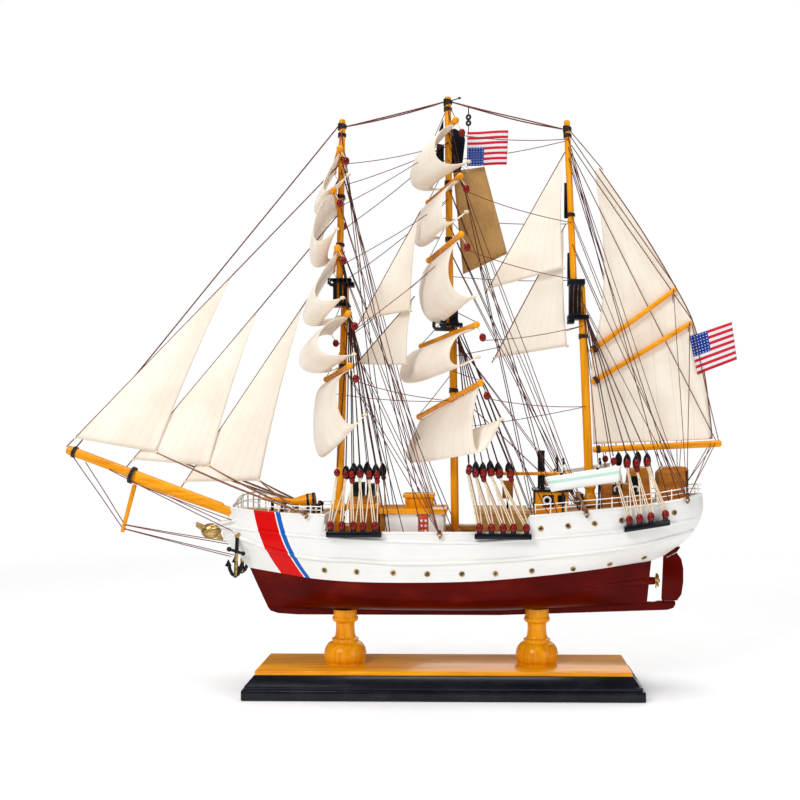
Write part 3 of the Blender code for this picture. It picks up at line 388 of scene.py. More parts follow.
varnish_upright = varnish("honey_varnish_upright", (420.0, 420.0, 30.0), *HONEY)
for name, pillar_x in zip(("pillar_fore", "pillar_aft"), PILLAR_X):
    lift = keel_bottom(pillar_x) - keel_bottom(PILLAR_X[0])
    pillar = bmesh.new()
    body_line = [PILLAR_PROFILE[0]] + rounded(PILLAR_PROFILE[1:18]) + [PILLAR_PROFILE[18]]
    lifted = [(radius, z + (lift if z > SADDLE_Z else 0.0)) for radius, z in body_line]
    turned(pillar, lifted, Matrix.Translation((pillar_x, 0.0, 0.0)), 48)
    piece(f"turned_{name}", pillar, varnish_upright, [name])

# Hull bottom: carved wood under dark red gloss, with a keel board along the middle, a tapered
# bossing that carries the propeller's pin, and a fairing on each side that grows aft to it.
SHAFT_Z = 80.8
KEEL_HALF = 1.9
BOW_FOOT_X = -131.0
WATERLINE_STEM = -145.0
STERNPOST_X = (150.0, 153.0)


def smooth_line(knots):
    """A smooth curve through (x, value) knots, flat beyond its ends."""
    def slope(index):
        before, after = max(index - 1, 0), min(index + 1, len(knots) - 1)
        return (knots[after][1] - knots[before][1]) / (knots[after][0] - knots[before][0])

    def value(x):
        if x <= knots[0][0]:
            return knots[0][1]
        for index in range(len(knots) - 1):
            (x0, y0), (x1, y1) = knots[index], knots[index + 1]
            if x <= x1:
                span = x1 - x0
                t = (x - x0) / span
                m0, m1 = slope(index) * span, slope(index + 1) * span
                a = (2 * t ** 3 - 3 * t ** 2 + 1) * y0 + (t ** 3 - 2 * t ** 2 + t) * m0
                b = (-2 * t ** 3 + 3 * t ** 2) * y1 + (t ** 3 - t ** 2) * m1
                return a + b
        return knots[-1][1]
    return value


WATERLINE_Z = smooth_line([(-145, 90.0), (-118, 87.2), (-98, 85.0), (-65, 83.4), (-15, 83.3), (25, 84.4),
                           (60, 87.0), (103, 91.0), (140, 95.0), (153, 96.2), (163, 99.9)])
WATERLINE_HALF = smooth_line([(-145, 1.3), (-135, 6.5), (-120, 13.5), (-100, 21.5), (-80, 27.5), (-50, 32.3),
                              (-20, 33.6), (20, 33.6), (60, 31.5), (95, 26.5), (120, 19.5), (140, 11.0),
                              (153, 4.0), (163, 1.5)])


def curved(bm, point, across, up):
    """Add a surface: a flat grid whose points are moved to point(s, t), and its other half."""
    part = bmesh.new()
    bmesh.ops.create_grid(part, x_segments=across, y_segments=up, size=0.5)
    for vert in part.verts:
        vert.co = point(vert.co.x + 0.5, vert.co.y + 0.5)
    bmesh.ops.mirror(part, geom=part.verts[:] + part.edges[:] + part.faces[:], axis="Y", merge_dist=0.001)
    bmesh.ops.remove_doubles(part, verts=part.verts, dist=0.004)
    bmesh.ops.recalc_face_normals(part, faces=part.faces)
    add(bm, part)


def bar(bm, start, end, radius, tip=None, sides=12):
    """Add a round bar or a taper between two points."""
    start, end = Vector(start), Vector(end)
    way = end - start
    matrix = Matrix.Translation((start + end) / 2) @ way.to_track_quat("Z", "Y").to_matrix().to_4x4()
    bmesh.ops.create_cone(bm, cap_ends=True, segments=sides, radius1=radius,
                          radius2=radius if tip is None else tip, depth=way.length, matrix=matrix)


def ball(bm, centre, radius, squash=(1.0, 1.0, 1.0), segments=14, rings=9):
    """Add a ball or an egg."""
    matrix = Matrix.Translation(centre) @ Matrix.Diagonal((*squash, 1.0))
    bmesh.ops.create_uvsphere(bm, u_segments=segments, v_segments=rings, radius=radius, matrix=matrix)


def sawn(bm, outline, low, high, flat="XZ", edge=0.3):
    """Add a board cut to an outline, with a thickness across it."""
    part = bmesh.new()
    lay = {"XZ": lambda a, b: (a, low, b), "XY": lambda a, b: (a, b, low)}[flat]
    face = part.faces.new([part.verts.new(lay(a, b)) for a, b in outline])
    pushed = bmesh.ops.extrude_face_region(part, geom=[face])["geom"]
    shift = (0.0, high - low, 0.0) if flat == "XZ" else (0.0, 0.0, high - low)
    bmesh.ops.translate(part, vec=shift, verts=[v for v in pushed if isinstance(v, bmesh.types.BMVert)])
    bmesh.ops.recalc_face_normals(part, faces=part.faces)
    if edge:
        ease(part, edge)
    add(bm, part)


def bottom_at(along, level):
    """A point of the bottom: along from stem to sternpost, level from the keel to the waterline."""
    stem = BOW_FOOT_X + (WATERLINE_STEM - BOW_FOOT_X) * level
    post = STERNPOST_X[0] + (STERNPOST_X[1] - STERNPOST_X[0]) * level
    x = stem + (post - stem) * along
    power = 1.0 + 1.5 * max(0.0, math.sin(math.pi * along)) ** 0.8
    outer = max(WATERLINE_HALF(WATERLINE_STEM + along * (STERNPOST_X[1] - WATERLINE_STEM)), 1.3)
    reach = (1 - (1 - level) ** power) ** (1 / power)
    width = KEEL_HALF + (max(outer, KEEL_HALF) - KEEL_HALF) * reach
    low = keel_bottom(x) + 4.4
    return x, min(width, outer), low + (WATERLINE_Z(x) - low) * level


def bottom_point(s, t):
    """A point of the port bottom's mesh, whose border runs in to the middle and closes it."""
    x, width, z = bottom_at((1 - math.cos(math.pi * s)) / 2, min(t / 0.93, 1.0))
    return x, 0.0 if s in (0.0, 1.0) or t in (0.0, 1.0) else -width, z


red_gloss = Paint("dark_red_gloss", Coat_Weight=0.07, Coat_Roughness=0.12, Specular_IOR_Level=0.03)
red_cloud = red_gloss.noise(red_gloss.spot((1.0, 1.0, 2.5)), 28.0, 5.0)
red_brush = red_gloss.noise(red_gloss.spot((30.0, 420.0, 420.0)), 1.0, 4.0)
red_stops = ((0.3, (0.060, 0.0008, 0.0002)), (0.55, (0.095, 0.002, 0.0004)), (0.8, (0.16, 0.008, 0.002)))
red_gloss.feed("Base Color", red_gloss.ramp(red_cloud, *red_stops))
red_gloss.feed("Roughness", 0.24 + red_brush * 0.16)
red_gloss.bump(red_brush * 0.6 + red_cloud * 0.6, 0.14, 0.0006)

bottom = bmesh.new()
curved(bottom, bottom_point, 96, 28)
sawn(bottom, [(-131.5, 60.6), (-129.6, 58.0), (-124.0, 56.1), (-109.0, 55.1), (41.0, 55.1), (165.0, 59.4),
              (169.6, 60.8), (171.2, 63.4), (171.0, 66.0), (158.0, 66.0), (156.0, 65.3), (147.0, 65.3),
              (144.0, 70.0), (-118.0, 70.0), (-128.0, 64.0)], -1.75, 1.75, edge=0.4)
bossing = [(0.0, 96.0), (2.2, 96.0), (3.4, 118.0), (3.6, 136.0), (3.1, 150.0), (2.7, 155.8), (1.0, 155.8)]
lengthwise = Matrix.Translation((0.0, 0.0, SHAFT_Z)) @ Matrix.Rotation(math.pi / 2, 4, "Y")
turned(bottom, rounded(bossing), lengthwise, 24)
FAIRING_STEPS = 13
fairing = []
for k in range(FAIRING_STEPS):
    along, radius = 0.815 + 0.014 * k, 0.3 + 0.24 * k
    level = 0.5
    for _ in range(8):
        x, width, z = bottom_at(along, level)
        level += (79.2 + 0.13 * k - z) / 40.0
    fairing.append((Vector((x, max(width - radius * 0.45, 0.0), z)), radius))
for side in (-1, 1):
    for (start, radius), (end, tip) in zip(fairing, fairing[1:]):
        start, end = Vector((start.x, side * start.y, start.z)), Vector((end.x, side * end.y, end.z))
        bar(bottom, start, end, radius, tip, 20)
        ball(bottom, end, tip, segments=16, rings=12)
sawn(bottom, [(163.4, 97.7), (165.8, 98.9), (172.2, 102.2), (175.0, 106.0), (170.0, 106.5), (162.6, 101.5)],
     -1.3, 1.3, edge=0.2)
piece("red_hull_bottom", bottom, red_gloss, ["hull_lower"])

# White topsides: thin planked sides with an open waist between a raised forecastle and poop, two
# glued mouldings along each side and a painted red and blue stripe at the bow.
WAIST_FORE = -85.0
WAIST_AFT = 62.0
WAIST_RAIL_Z = 119.5
SIDE_THICK = 1.6
RAIL_STEP = 5.0
STRIPE_TOP = 0.1335
STRIPE_BEND = 5.59
STRIPE_LEAN = 0.1774
STRIPE_FOOT = -0.1396
RED_BAND = (0.0, 0.0164)
BLUE_BAND = (0.0174, 0.0209)
STRIPE_RED = (0.66, 0.0, 0.0)
STRIPE_BLUE = (0.006, 0.11, 0.48)
OUTER_FACE = -0.004
SHEER_Z = smooth_line([(-159, 135.2), (-138, 133.6), (-117, 132.7), (-94, 132.3), (-79, 132.0), (0, 130.5),
                       (61, 131.8), (99, 135.0), (141, 138.8), (177, 143.6), (190.5, 146.0)])
MIDDLE_HALF = smooth_line([(-164, 1.3), (-150, 9.5), (-130, 19.5), (-110, 27.0), (-85, 32.0), (-50, 34.5),
                           (0, 35.0), (50, 34.8), (100, 33.0), (135, 29.0), (160, 21.5), (177, 12.5),
                           (187.5, 1.5)])
SHEER_HALF = smooth_line([(-159, 2.6), (-150, 9.5), (-135, 17.5), (-115, 25.5), (-90, 31.0), (-60, 34.2),
                          (-20, 35.0), (50, 35.0), (100, 34.0), (135, 31.3), (160, 26.0), (178, 17.0),
                          (187, 8.5), (190.5, 2.0)])
STEM_X = smooth_line([(0.0, -145.0), (0.25, -154.5), (0.5, -164.0), (0.75, -161.5), (1.0, -159.0)])
STERN_X = smooth_line([(0.0, 163.0), (0.25, 179.0), (0.5, 187.5), (0.75, 191.0), (1.0, 190.5)])


def topside_at(level, along):
    """A point of the side: level 0 at the waterline and 1 at the sheer, along from stem to stern."""
    places = [STEM_X(share) + along * (STERN_X(share) - STEM_X(share)) for share in (0.0, 0.5, 1.0)]
    low, middle, high = WATERLINE_HALF(places[0]), MIDDLE_HALF(places[1]), SHEER_HALF(places[2])
    if level < 0.5:
        width = low + (middle - low) * (1 - (1 - level * 2) ** 1.6)
    else:
        width = middle + (high - middle) * (level * 2 - 1)
    x = STEM_X(level) + along * (STERN_X(level) - STEM_X(level))
    low_z = WATERLINE_Z(places[0])
    return x, width, low_z + (SHEER_Z(places[2]) - low_z) * level


def level_at(along, z):
    """The level at which a column of the side has a height."""
    low, high = 0.0, 1.0
    for _ in range(18):
        level = (low + high) / 2
        if topside_at(level, along)[2] < z:
            low = level
        else:
            high = level
    return level


def half_at(x, z):
    """Half breadth of the side at a place and a height."""
    along = 0.5
    for _ in range(6):
        level = level_at(along, z)
        along = (x - STEM_X(level)) / (STERN_X(level) - STEM_X(level))
        along = min(max(along, 0.0), 1.0)
    return topside_at(level_at(along, z), along)[1]


def on_side(x, z, out, side):
    """A point on the side's outer face, or a distance outside it."""
    return Vector((x, side * (half_at(x, z) + out), z))


sheer_span = STERN_X(1.0) - STEM_X(1.0)
STEP_DOWN = 0.03
waist_ends = (WAIST_FORE - STEP_DOWN, WAIST_FORE, WAIST_AFT, WAIST_AFT + STEP_DOWN)
BREAKS = [(x - STEM_X(1.0)) / sheer_span for x in waist_ends]
COLUMNS = sorted([(1 - math.cos(math.pi * i / 84)) / 2 for i in range(85)] + BREAKS)
COLUMNS = [0.0] + COLUMNS + [1.0]
SIDE_ROWS = 26


def side_point(s, t):
    """A point of the port side; the first row runs in under the hull and closes it."""
    column = round(s * (len(COLUMNS) - 1))
    along = COLUMNS[column]
    open_waist = BREAKS[1] - 0.00001 < along < BREAKS[2] + 0.00001
    top = level_at(along, WAIST_RAIL_Z) if open_waist else 1.0
    level = max(0.0, (t * SIDE_ROWS - 1) / (SIDE_ROWS - 1)) * top
    x, width, z = topside_at(level, along)
    if t * SIDE_ROWS < 0.5:
        width = 0.0
    if column == 0:
        x, width = x - 0.9, 0.0
    if column == len(COLUMNS) - 1:
        x, width = x + 0.6, 0.0
    return x, -width, z


def tubes(bm, paths, radius, finer=1):
    """Add round rods that follow paths of points."""
    curve = bpy.data.curves.new("paths", "CURVE")
    curve.dimensions = "3D"
    curve.bevel_depth = radius
    curve.bevel_resolution = finer
    curve.use_fill_caps = True
    for path in paths:
        line = curve.splines.new("POLY")
        line.points.add(len(path) - 1)
        for point, at in zip(line.points, path):
            point.co = (*at, 1.0)
    holder = bpy.data.objects.new("paths", curve)
    mesh = bpy.data.meshes.new_from_object(holder)
    bm.from_mesh(mesh)
    bpy.data.objects.remove(holder)
    bpy.data.curves.remove(curve)
    bpy.data.meshes.remove(mesh)


def enamel(name, light, shade, striped=False, strake=None):
    """Enamel: faint brush marks, slight yellowing, the bow's stripe or a boat's coloured strake."""
    paint = Paint(name, Coat_Weight=0.05, Coat_Roughness=0.15, Specular_IOR_Level=0.12)
    cloud = paint.noise(paint.spot(), 34.0, 5.0)
    brush = paint.noise(paint.spot((26.0, 380.0, 420.0)), 1.0, 4.0)
    colour = paint.ramp(cloud * 0.6 + brush * 0.4, (0.3, shade), (0.62, light))
    if striped:
        x, y, z = paint.axes()
        _, facing_y, _ = paint.axes("Normal")
        outside = y * facing_y > OUTER_FACE
        depth = STRIPE_TOP - z
        across = x - (depth * depth * STRIPE_BEND + depth * STRIPE_LEAN + STRIPE_FOOT)
        for (fore, aft), band_colour in ((RED_BAND, STRIPE_RED), (BLUE_BAND, STRIPE_BLUE)):
            band = (across > fore) * (across < aft) * outside
            colour = paint.mix(band, colour, band_colour)
    if strake:
        slope, low, high, strake_colour = strake
        x, _, z = paint.axes()
        height = z - x * slope
        band = (height > low) * (height < high)
        colour = paint.mix(band, colour, strake_colour)
    paint.feed("Base Color", colour)
    paint.feed("Roughness", 0.26 + cloud * 0.16)
    paint.bump(brush * 0.8 + cloud * 0.3, 0.16, 0.0005)
    return paint


white_hull = enamel("white_hull_enamel", (0.86, 0.85, 0.825), (0.79, 0.79, 0.775), striped=True)
white_enamel = enamel("white_enamel", (0.93, 0.92, 0.90), (0.86, 0.85, 0.83))

sides = bmesh.new()
curved(sides, side_point, len(COLUMNS) - 1, SIDE_ROWS)
hull = piece("white_topsides", sides, white_hull, ["hull_upper"])
wall = hull.modifiers.new("planking", "SOLIDIFY")
wall.thickness = SIDE_THICK * MM
wall.offset = -1.0

LOWER_WALE = smooth_line([(-158.0, 115.6), (-155.3, 114.3), (-137.8, 109.2), (-123.4, 104.8), (-108.4, 101.9),
                          (-86.8, 99.7), (-59.6, 98.8), (-30.9, 96.9), (20.7, 98.3), (86.5, 103.1),
                          (135.8, 108.9), (177.0, 117.2), (184.0, 119.0)])
UPPER_WALE = smooth_line([(-160.0, 120.6), (-117.1, 117.3), (-84.2, 115.1), (-45.2, 113.3), (22.2, 112.2),
                          (69.9, 115.6), (126.7, 120.4), (184.7, 127.1)])


def run(fore, aft, height, out, side):
    """Points along the side at a height that changes with the place."""
    count = max(2, round((aft - fore) / RAIL_STEP))
    places = [fore + (aft - fore) * i / count for i in range(count + 1)]
    return [on_side(x, height(x), out, side) for x in places]


mouldings = bmesh.new()
for side in (-1, 1):
    tubes(mouldings, [run(-157.5, 183.0, LOWER_WALE, 0.2, side)], 1.55, 3)
    tubes(mouldings, [run(-158.5, 184.5, UPPER_WALE, 0.2, side)], 1.25, 3)
    for fore, aft in ((-158.0, WAIST_FORE), (WAIST_AFT, 189.0)):
        tubes(mouldings, [run(fore, aft, lambda x: SHEER_Z(x) - 0.7, 0.0, side)], 0.9, 2)
    tubes(mouldings, [run(WAIST_FORE, WAIST_AFT, lambda x: WAIST_RAIL_Z - 0.5, -0.2, side)], 0.95, 2)
piece("hull_mouldings", mouldings, white_hull)

knee = bmesh.new()
sawn(knee, [(-172.5, 122.9), (-170.0, 124.6), (-158.0, 125.6), (-154.0, 118.0), (-162.0, 114.0)], -1.6, 1.6)
for head_z, tip_z in ((124.0, 122.0), (120.0, 118.4)):
    for side in (-1, 1):
        bar(knee, (-150.0, side * 8.0, head_z + 3.0), (-171.0, side * 1.4, tip_z), 0.8, 0.6, 8)
piece("head_knee_and_rails", knee, white_enamel)

# Portholes: brass eyelets pressed into the side over dark plastic glass, and four brass screw
# hooks in each rail that the running lines are tied to.
LOWER_PORTS = ((-85.8, 91.4), (-62.2, 90.7), (-35.8, 90.2), (-11.3, 89.5), (13.5, 89.5), (37.6, 89.8),
               (63.7, 91.7), (93.5, 92.9), (120.5, 95.7), (146.5, 99.5))
UPPER_PORTS = ((70.0, 122.3), (89.6, 124.1), (108.5, 125.8), (128.0, 128.0), (167.0, 133.0))
HOOKS = ((-99.3, 129.9), (-2.5, 116.3), (102.2, 131.3), (176.5, 140.6))


def facing(x, z, side):
    """A frame on the hull's side whose Z axis points straight out of it."""
    at = on_side(x, z, 0.0, side)
    along = on_side(x + 2.0, z, 0.0, side) - on_side(x - 2.0, z, 0.0, side)
    up = on_side(x, z + 1.5, 0.0, side) - on_side(x, z - 1.5, 0.0, side)
    out = along.cross(up) * -side
    return Matrix.Translation(at) @ out.to_track_quat("Z", "Y").to_matrix().to_4x4()


def metal(name, dark, light, roughness):
    """Cast or turned metal with a tarnish that gathers in patches."""
    paint = Paint(name, Metallic=0.95)
    tarnish = paint.noise(paint.spot(), 240.0, 6.0)
    fine = paint.noise(paint.spot(), 1400.0, 3.0)
    paint.feed("Base Color", paint.ramp(tarnish, (0.35, dark), (0.62, light)))
    paint.feed("Roughness", roughness + tarnish * 0.25)
    paint.bump(tarnish * 0.7 + fine * 0.3, 0.3, 0.0003)
    return paint


brass = metal("old_brass", (0.22, 0.13, 0.045), (0.66, 0.46, 0.17), 0.22)
dark_glass = Paint("dark_porthole_glass", Coat_Weight=0.8, Coat_Roughness=0.03)
dark_glass.feed("Base Color", dark_glass.ramp(dark_glass.noise(dark_glass.spot(), 300.0),
                                              (0.3, (0.012, 0.010, 0.010)), (0.8, (0.035, 0.028, 0.022))))
dark_glass.feed("Roughness", 0.1 + dark_glass.noise(dark_glass.spot(), 900.0) * 0.1)

eyelets = bmesh.new()
glasses = bmesh.new()
ring_line = [(0.95, -0.2), (1.0, 0.45), (1.35, 0.75), (1.9, 0.55), (2.1, 0.05), (1.9, -0.3), (0.95, -0.2)]
glass_line = [(0.0, 0.25), (0.7, 0.22), (1.2, 0.1), (1.2, -0.3), (0.0, -0.3)]
for side in (-1, 1):
    for x, z in LOWER_PORTS + UPPER_PORTS:
        turned(eyelets, ring_line, facing(x, z, side), 20)
        turned(glasses, glass_line, facing(x, z, side), 14)
piece("porthole_eyelets", eyelets, brass)
piece("porthole_glasses", glasses, dark_glass)

hooks = bmesh.new()
for side in (-1, 1):
    for x, z in HOOKS:
        at = on_side(x, z, 0.0, side)
        wire = [at + Vector((0.0, side * 0.2, 0.0)), at + Vector((0.0, side * 2.0, 0.0))]
        for k in range(11):
            bend = math.radians(-90 + 27 * k)
            out, up = 2.6 + 0.04 * k, 1.2 + 2.2 * math.sin(bend)
            wire.append(at + Vector((1.5 * math.cos(bend), side * out, up)))
        tubes(hooks, [wire], 0.65, 2)
piece("rail_hooks", hooks, brass)

# Decks: thin stained boards let in between the sides, scored into narrow planks. White boards
# close the forecastle and the poop where the waist begins.
PLANK = 3.2
RAIL_DROP = 0.7


def deck_z(x):
    """Top of the forecastle deck and of the quarterdeck."""
    return SHEER_Z(x) - RAIL_DROP


def planked(name, dark, light):
    """Stained boards that run fore and aft, with a scored line every plank's width."""
    paint = Paint(name)
    _, across, _ = paint.axes()
    grain = paint.noise(paint.spot((40.0, 700.0, 700.0)), 1.0, 5.0)
    seam = (across * (1000.0 / PLANK) + 100.0).fraction().distance(0.5) > 0.46
    board = paint.ramp(grain, (0.3, dark), (0.7, light))
    paint.feed("Base Color", paint.mix(seam, board, [value * 0.3 for value in dark]))
    paint.feed("Roughness", 0.42 + grain * 0.2)
    paint.bump(grain * 0.3 - seam * 0.9, 0.4, 0.0004)
    return paint


deck_boards = planked("stained_deck_boards", (0.40, 0.17, 0.03), (0.64, 0.33, 0.08))
for name in ("forecastle_deck", "waist_deck", "quarterdeck"):
    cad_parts[name].data.materials.clear()
    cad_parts[name].data.materials.append(deck_boards.material)

ends = bmesh.new()
block(ends, (-86.8, -30.3, 111.0), (-85.1, 30.3, deck_z(-86.0) + 0.2), 0.3)
block(ends, (62.1, -33.2, 111.0), (63.8, 33.2, deck_z(63.0) - 1.4), 0.3)
piece("waist_end_boards", ends, white_enamel)
ceiling = bmesh.new()
CEILING_Z = (112.6, 118.6)
for side in (-1, 1):
    places = [WAIST_FORE + 1.0 + (WAIST_AFT - WAIST_FORE - 2.0) * i / 16 for i in range(17)]
    inner = [half_at(x, 116.0) - SIDE_THICK for x in places]
    outline = [(x, side * (half - 0.1)) for x, half in zip(places, inner)]
    outline += [(x, side * (half - 1.0)) for x, half in reversed(list(zip(places, inner)))]
    sawn(ceiling, outline, *CEILING_Z, "XY", 0.15)
piece("waist_inner_boards", ceiling, deck_boards)

# Midship house: a white painted box under a varnished boat deck, with a small cabin on top. Thin
# frames are glued on its sides, beside a red notice board with white squares.
stained_wood = varnish("stained_wood", (60.0, 60.0, 420.0), (0.26, 0.08, 0.010), (0.46, 0.16, 0.022),
                       (0.62, 0.25, 0.045))
HOUSE_HALF = 22.0


def panels(bm, half, thick, places, edge=0.2):
    """Add upright boards on both sides of a house, each from fore to aft and from low to high."""
    for y in (-half, half):
        for fore, aft, low, high in places:
            block(bm, (fore, y - thick, low), (aft, y + thick, high), edge)


house = bmesh.new()
block(house, (-42.0, -HOUSE_HALF, 113.3), (0.0, HOUSE_HALF, 132.0), 0.4)
frames = [(fore, fore + 1.4, 114.6, 131.0) for fore in (-42.0, -19.8, -10.8, -1.4)]
panels(house, HOUSE_HALF + 0.3, 0.3, [*frames, (-42.0, 0.0, 129.6, 131.8)])
for x in (-42.25, 0.25):
    for y in (-15.0, 0.0, 15.0):
        block(house, (x - 0.25, y - 5.5, 116.0), (x + 0.25, y + 5.5, 130.0), 0.2)
piece("midship_house_walls", house, white_enamel, ["midship_house"])

house_top = bmesh.new()
block(house_top, (-47.0, -25.0, 131.8), (2.4, 25.0, 135.4), 0.6)
block(house_top, (-30.3, -10.8, 142.6), (-7.2, 10.8, 145.6), 0.7)
panels(house_top, 9.0, 0.5, [(-28.7, -27.0, 135.2, 142.8), (-10.0, -8.3, 135.2, 142.8)])
piece("midship_boat_deck", house_top, varnish_along)

cabin = bmesh.new()
block(cabin, (-28.2, -8.8, 135.2), (-8.8, 8.8, 142.8), 0.3)
piece("midship_cabin", cabin, varnish_upright)
locker = bmesh.new()
block(locker, (-46.4, -19.5, 113.3), (-42.1, 19.5, 131.6), 0.4)
turned(locker, rounded([(3.0, 119.0), (4.2, 118.4), (4.8, 116.4), (5.4, 113.2), (3.0, 113.2)], 3),
       Matrix.Translation((7.9, 0.1, 0.0)), 24)
block(locker, (43.2, -4.0, 141.8), (51.0, 4.0, 155.0), 0.5)
piece("lockers_and_mast_coat", locker, stained_wood)

bead_red = Paint("bead_red", Coat_Weight=0.45, Coat_Roughness=0.05, Specular_IOR_Level=0.08)
bead_shade = bead_red.noise(bead_red.spot(), 320.0, 4.0)
bead_stops = ((0.3, (0.10, 0.001, 0.001)), (0.7, (0.26, 0.006, 0.003)))
bead_red.feed("Base Color", bead_red.ramp(bead_shade, *bead_stops))
bead_red.feed("Roughness", 0.14 + bead_shade * 0.14)
notice_red = Paint("notice_red", Roughness=0.4, Coat_Weight=0.2)
notice_shade = notice_red.noise(notice_red.spot(), 200.0, 4.0)
notice_stops = ((0.3, (0.50, 0.035, 0.012)), (0.7, (0.66, 0.07, 0.02)))
notice_red.feed("Base Color", notice_red.ramp(notice_shade, *notice_stops))
boards = bmesh.new()
squares = bmesh.new()
panels(boards, HOUSE_HALF + 0.6, 0.4, [(-18.2, -11.2, 115.4, 131.4)])
grid = [(left, left + 1.5, low, low + 1.7) for left in (-16.7, -13.7) for low in (118.6, 122.3, 126.0)]
panels(squares, HOUSE_HALF + 1.0, 0.2, grid, 0.15)
piece("notice_boards", boards, notice_red)
piece("notice_squares", squares, white_enamel)

# Fore house and barrel winch: a stained box with a varnished roof and black lockers on it under the
# foremast's shrouds. On the foredeck lies a tapered drum with two black bands and a long spindle.
fore_house = bmesh.new()
block(fore_house, (-70.0, -11.0, 113.3), (-48.5, 11.0, 134.6), 0.5)
block(fore_house, (-70.6, -10.0, 137.6), (-51.0, 10.0, 143.4), 0.5)
panels(fore_house, 11.2, 0.3, [(-68.5, -60.5, 117.0, 132.5), (-58.5, -50.5, 117.0, 132.5)], 0.25)
piece("fore_house_box", fore_house, stained_wood, ["fore_house"])
fore_roof = bmesh.new()
block(fore_roof, (-72.0, -12.0, 134.4), (-47.5, 12.0, 137.8), 0.6)
collar = [(3.0, 132.2), (5.6, 132.4), (6.2, 134.6), (5.4, 137.0), (3.6, 138.6), (2.9, 141.0)]
turned(fore_roof, rounded(collar, 3), Matrix.Translation((-78.6, 0.3, 0.0)), 24)
piece("fore_house_roof_and_mast_collar", fore_roof, varnish_along)
fore_boxes = bmesh.new()
block(fore_boxes, (-67.8, -8.5, 143.2), (-59.6, 8.5, 153.6), 0.5)
block(fore_boxes, (-57.0, -8.5, 143.2), (-52.2, 8.5, 152.6), 0.5)
for y in (-6.0, 0.0, 6.0):
    bar(fore_boxes, (-63.7, y, 153.4), (-63.7, y, 154.2), 1.5, 1.1, 14)
piece("fore_house_lockers", fore_boxes, black_lacquer)

drum_z = deck_z(-106.0) + 6.0
winch = bmesh.new()
drum_line = [(0.0, -9.2), (1.9, -9.2), (2.5, -8.8), (2.8, -7.6), (4.0, -2.0), (4.9, 3.0), (5.3, 7.0),
             (5.2, 8.3), (4.4, 8.8), (0.0, 8.8)]
drum_turn = Matrix.Translation((-105.2, 0.0, drum_z + 1.8)) @ Matrix.Rotation(math.radians(83), 4, "Y")
turned(winch, drum_line, drum_turn, 28)
bar(winch, (-113.0, 0.0, 139.4), (-133.5, 0.0, 141.4), 1.9, 1.6, 16)
ball(winch, (-133.5, 0.0, 141.4), 1.6)
piece("winch_drum", winch, varnish_along, ["foredeck_winch"])
chocks = bmesh.new()
for x in (-110.0, -101.5):
    block(chocks, (x - 0.8, -4.6, deck_z(-106.0)), (x + 0.8, 4.6, drum_z - 1.0), 0.3)
for place, radius in ((4.0, 5.1), (8.2, 5.3)):
    band = [(radius - 0.8, place - 0.9), (radius, place - 0.9), (radius + 0.15, place),
            (radius, place + 0.9), (radius - 0.8, place + 0.9)]
    turned(chocks, band, drum_turn, 28)
block(chocks, (-129.3, -1.5, deck_z(-128.0)), (-127.3, 1.5, 140.0), 0.3)
bitt = [(0.0, 0.0), (1.6, 0.0), (1.1, 1.0), (1.0, 4.4), (1.7, 5.6), (1.2, 7.0), (0.0, 7.4)]
for x, y in ((-92.5, -9.0), (-92.5, 9.0), (-95.0, -19.0), (-95.0, 19.0), (-120.0, -8.0), (-120.0, 8.0)):
    turned(chocks, rounded(bitt, 3), Matrix.Translation((x, y, deck_z(x) - 0.1)), 14)
piece("winch_chocks_and_bitts", chocks, black_lacquer)

# Wheelhouse: a varnished house with a black roof, black doors and a black fore side, a white
# lifebuoy on each side and a thin black funnel. A black post on its roof carries a spare spar, and
# more white lifebuoys hang on the house abaft it.
wheelhouse = bmesh.new()
block(wheelhouse, (67.0, -13.0, deck_z(67.0) - 0.3), (91.5, 13.0, 147.8), 0.4)
block(wheelhouse, (24.2, -26.8, 113.4), (24.9, 26.8, 131.8), 0.3)
for y in (-20.0, -7.0, 7.0, 20.0):
    block(wheelhouse, (23.5, y - 4.5, 115.0), (24.3, y + 4.5, 130.0), 0.25)
piece("wheelhouse_walls", wheelhouse, varnish_upright, ["wheelhouse"])
SPARE_SPAR = ((33.9, -5.0, 160.4), (96.8, -5.0, 160.4))
spare = bmesh.new()
bar(spare, *SPARE_SPAR, 1.3, 1.2, 16)
ball(spare, SPARE_SPAR[0], 1.3)
ball(spare, SPARE_SPAR[1], 1.2)
piece("spare_spar", spare, varnish_along)
blacks = bmesh.new()
funnel = [(0.0, 148.6), (3.2, 149.0), (2.9, 150.2), (2.6, 151.0), (2.6, 176.0), (2.75, 176.4),
          (2.75, 177.3), (2.1, 177.5), (2.0, 174.0), (0.0, 174.0)]
turned(blacks, funnel, Matrix.Translation((72.0, 0.0, 0.0)), 28)
panels(blacks, 13.2, 0.3, [(72.4, 80.6, 136.4, 145.0), (83.4, 89.0, 138.0, 145.0)])
panels(blacks, 6.6, 6.2, [(66.6, 67.3, 133.0, 147.4)])
block(blacks, (65.4, -14.6, 147.2), (94.2, 14.6, 149.2), 0.6)
block(blacks, (98.6, -14.0, deck_z(98.6) - 0.3), (102.4, 14.0, 146.0), 0.4)
POSTS = ((47.1, -2.4, 134.3, 142.0), (47.1, 2.4, 134.3, 142.0), (90.0, -5.0, 149.4, 160.0))
for x, y, foot_z, head_z in POSTS:
    bar(blacks, (x, y, foot_z), (x, y, head_z), 0.7)
piece("wheelhouse_doors_and_funnel", blacks, black_lacquer)

RING_STEPS = 26


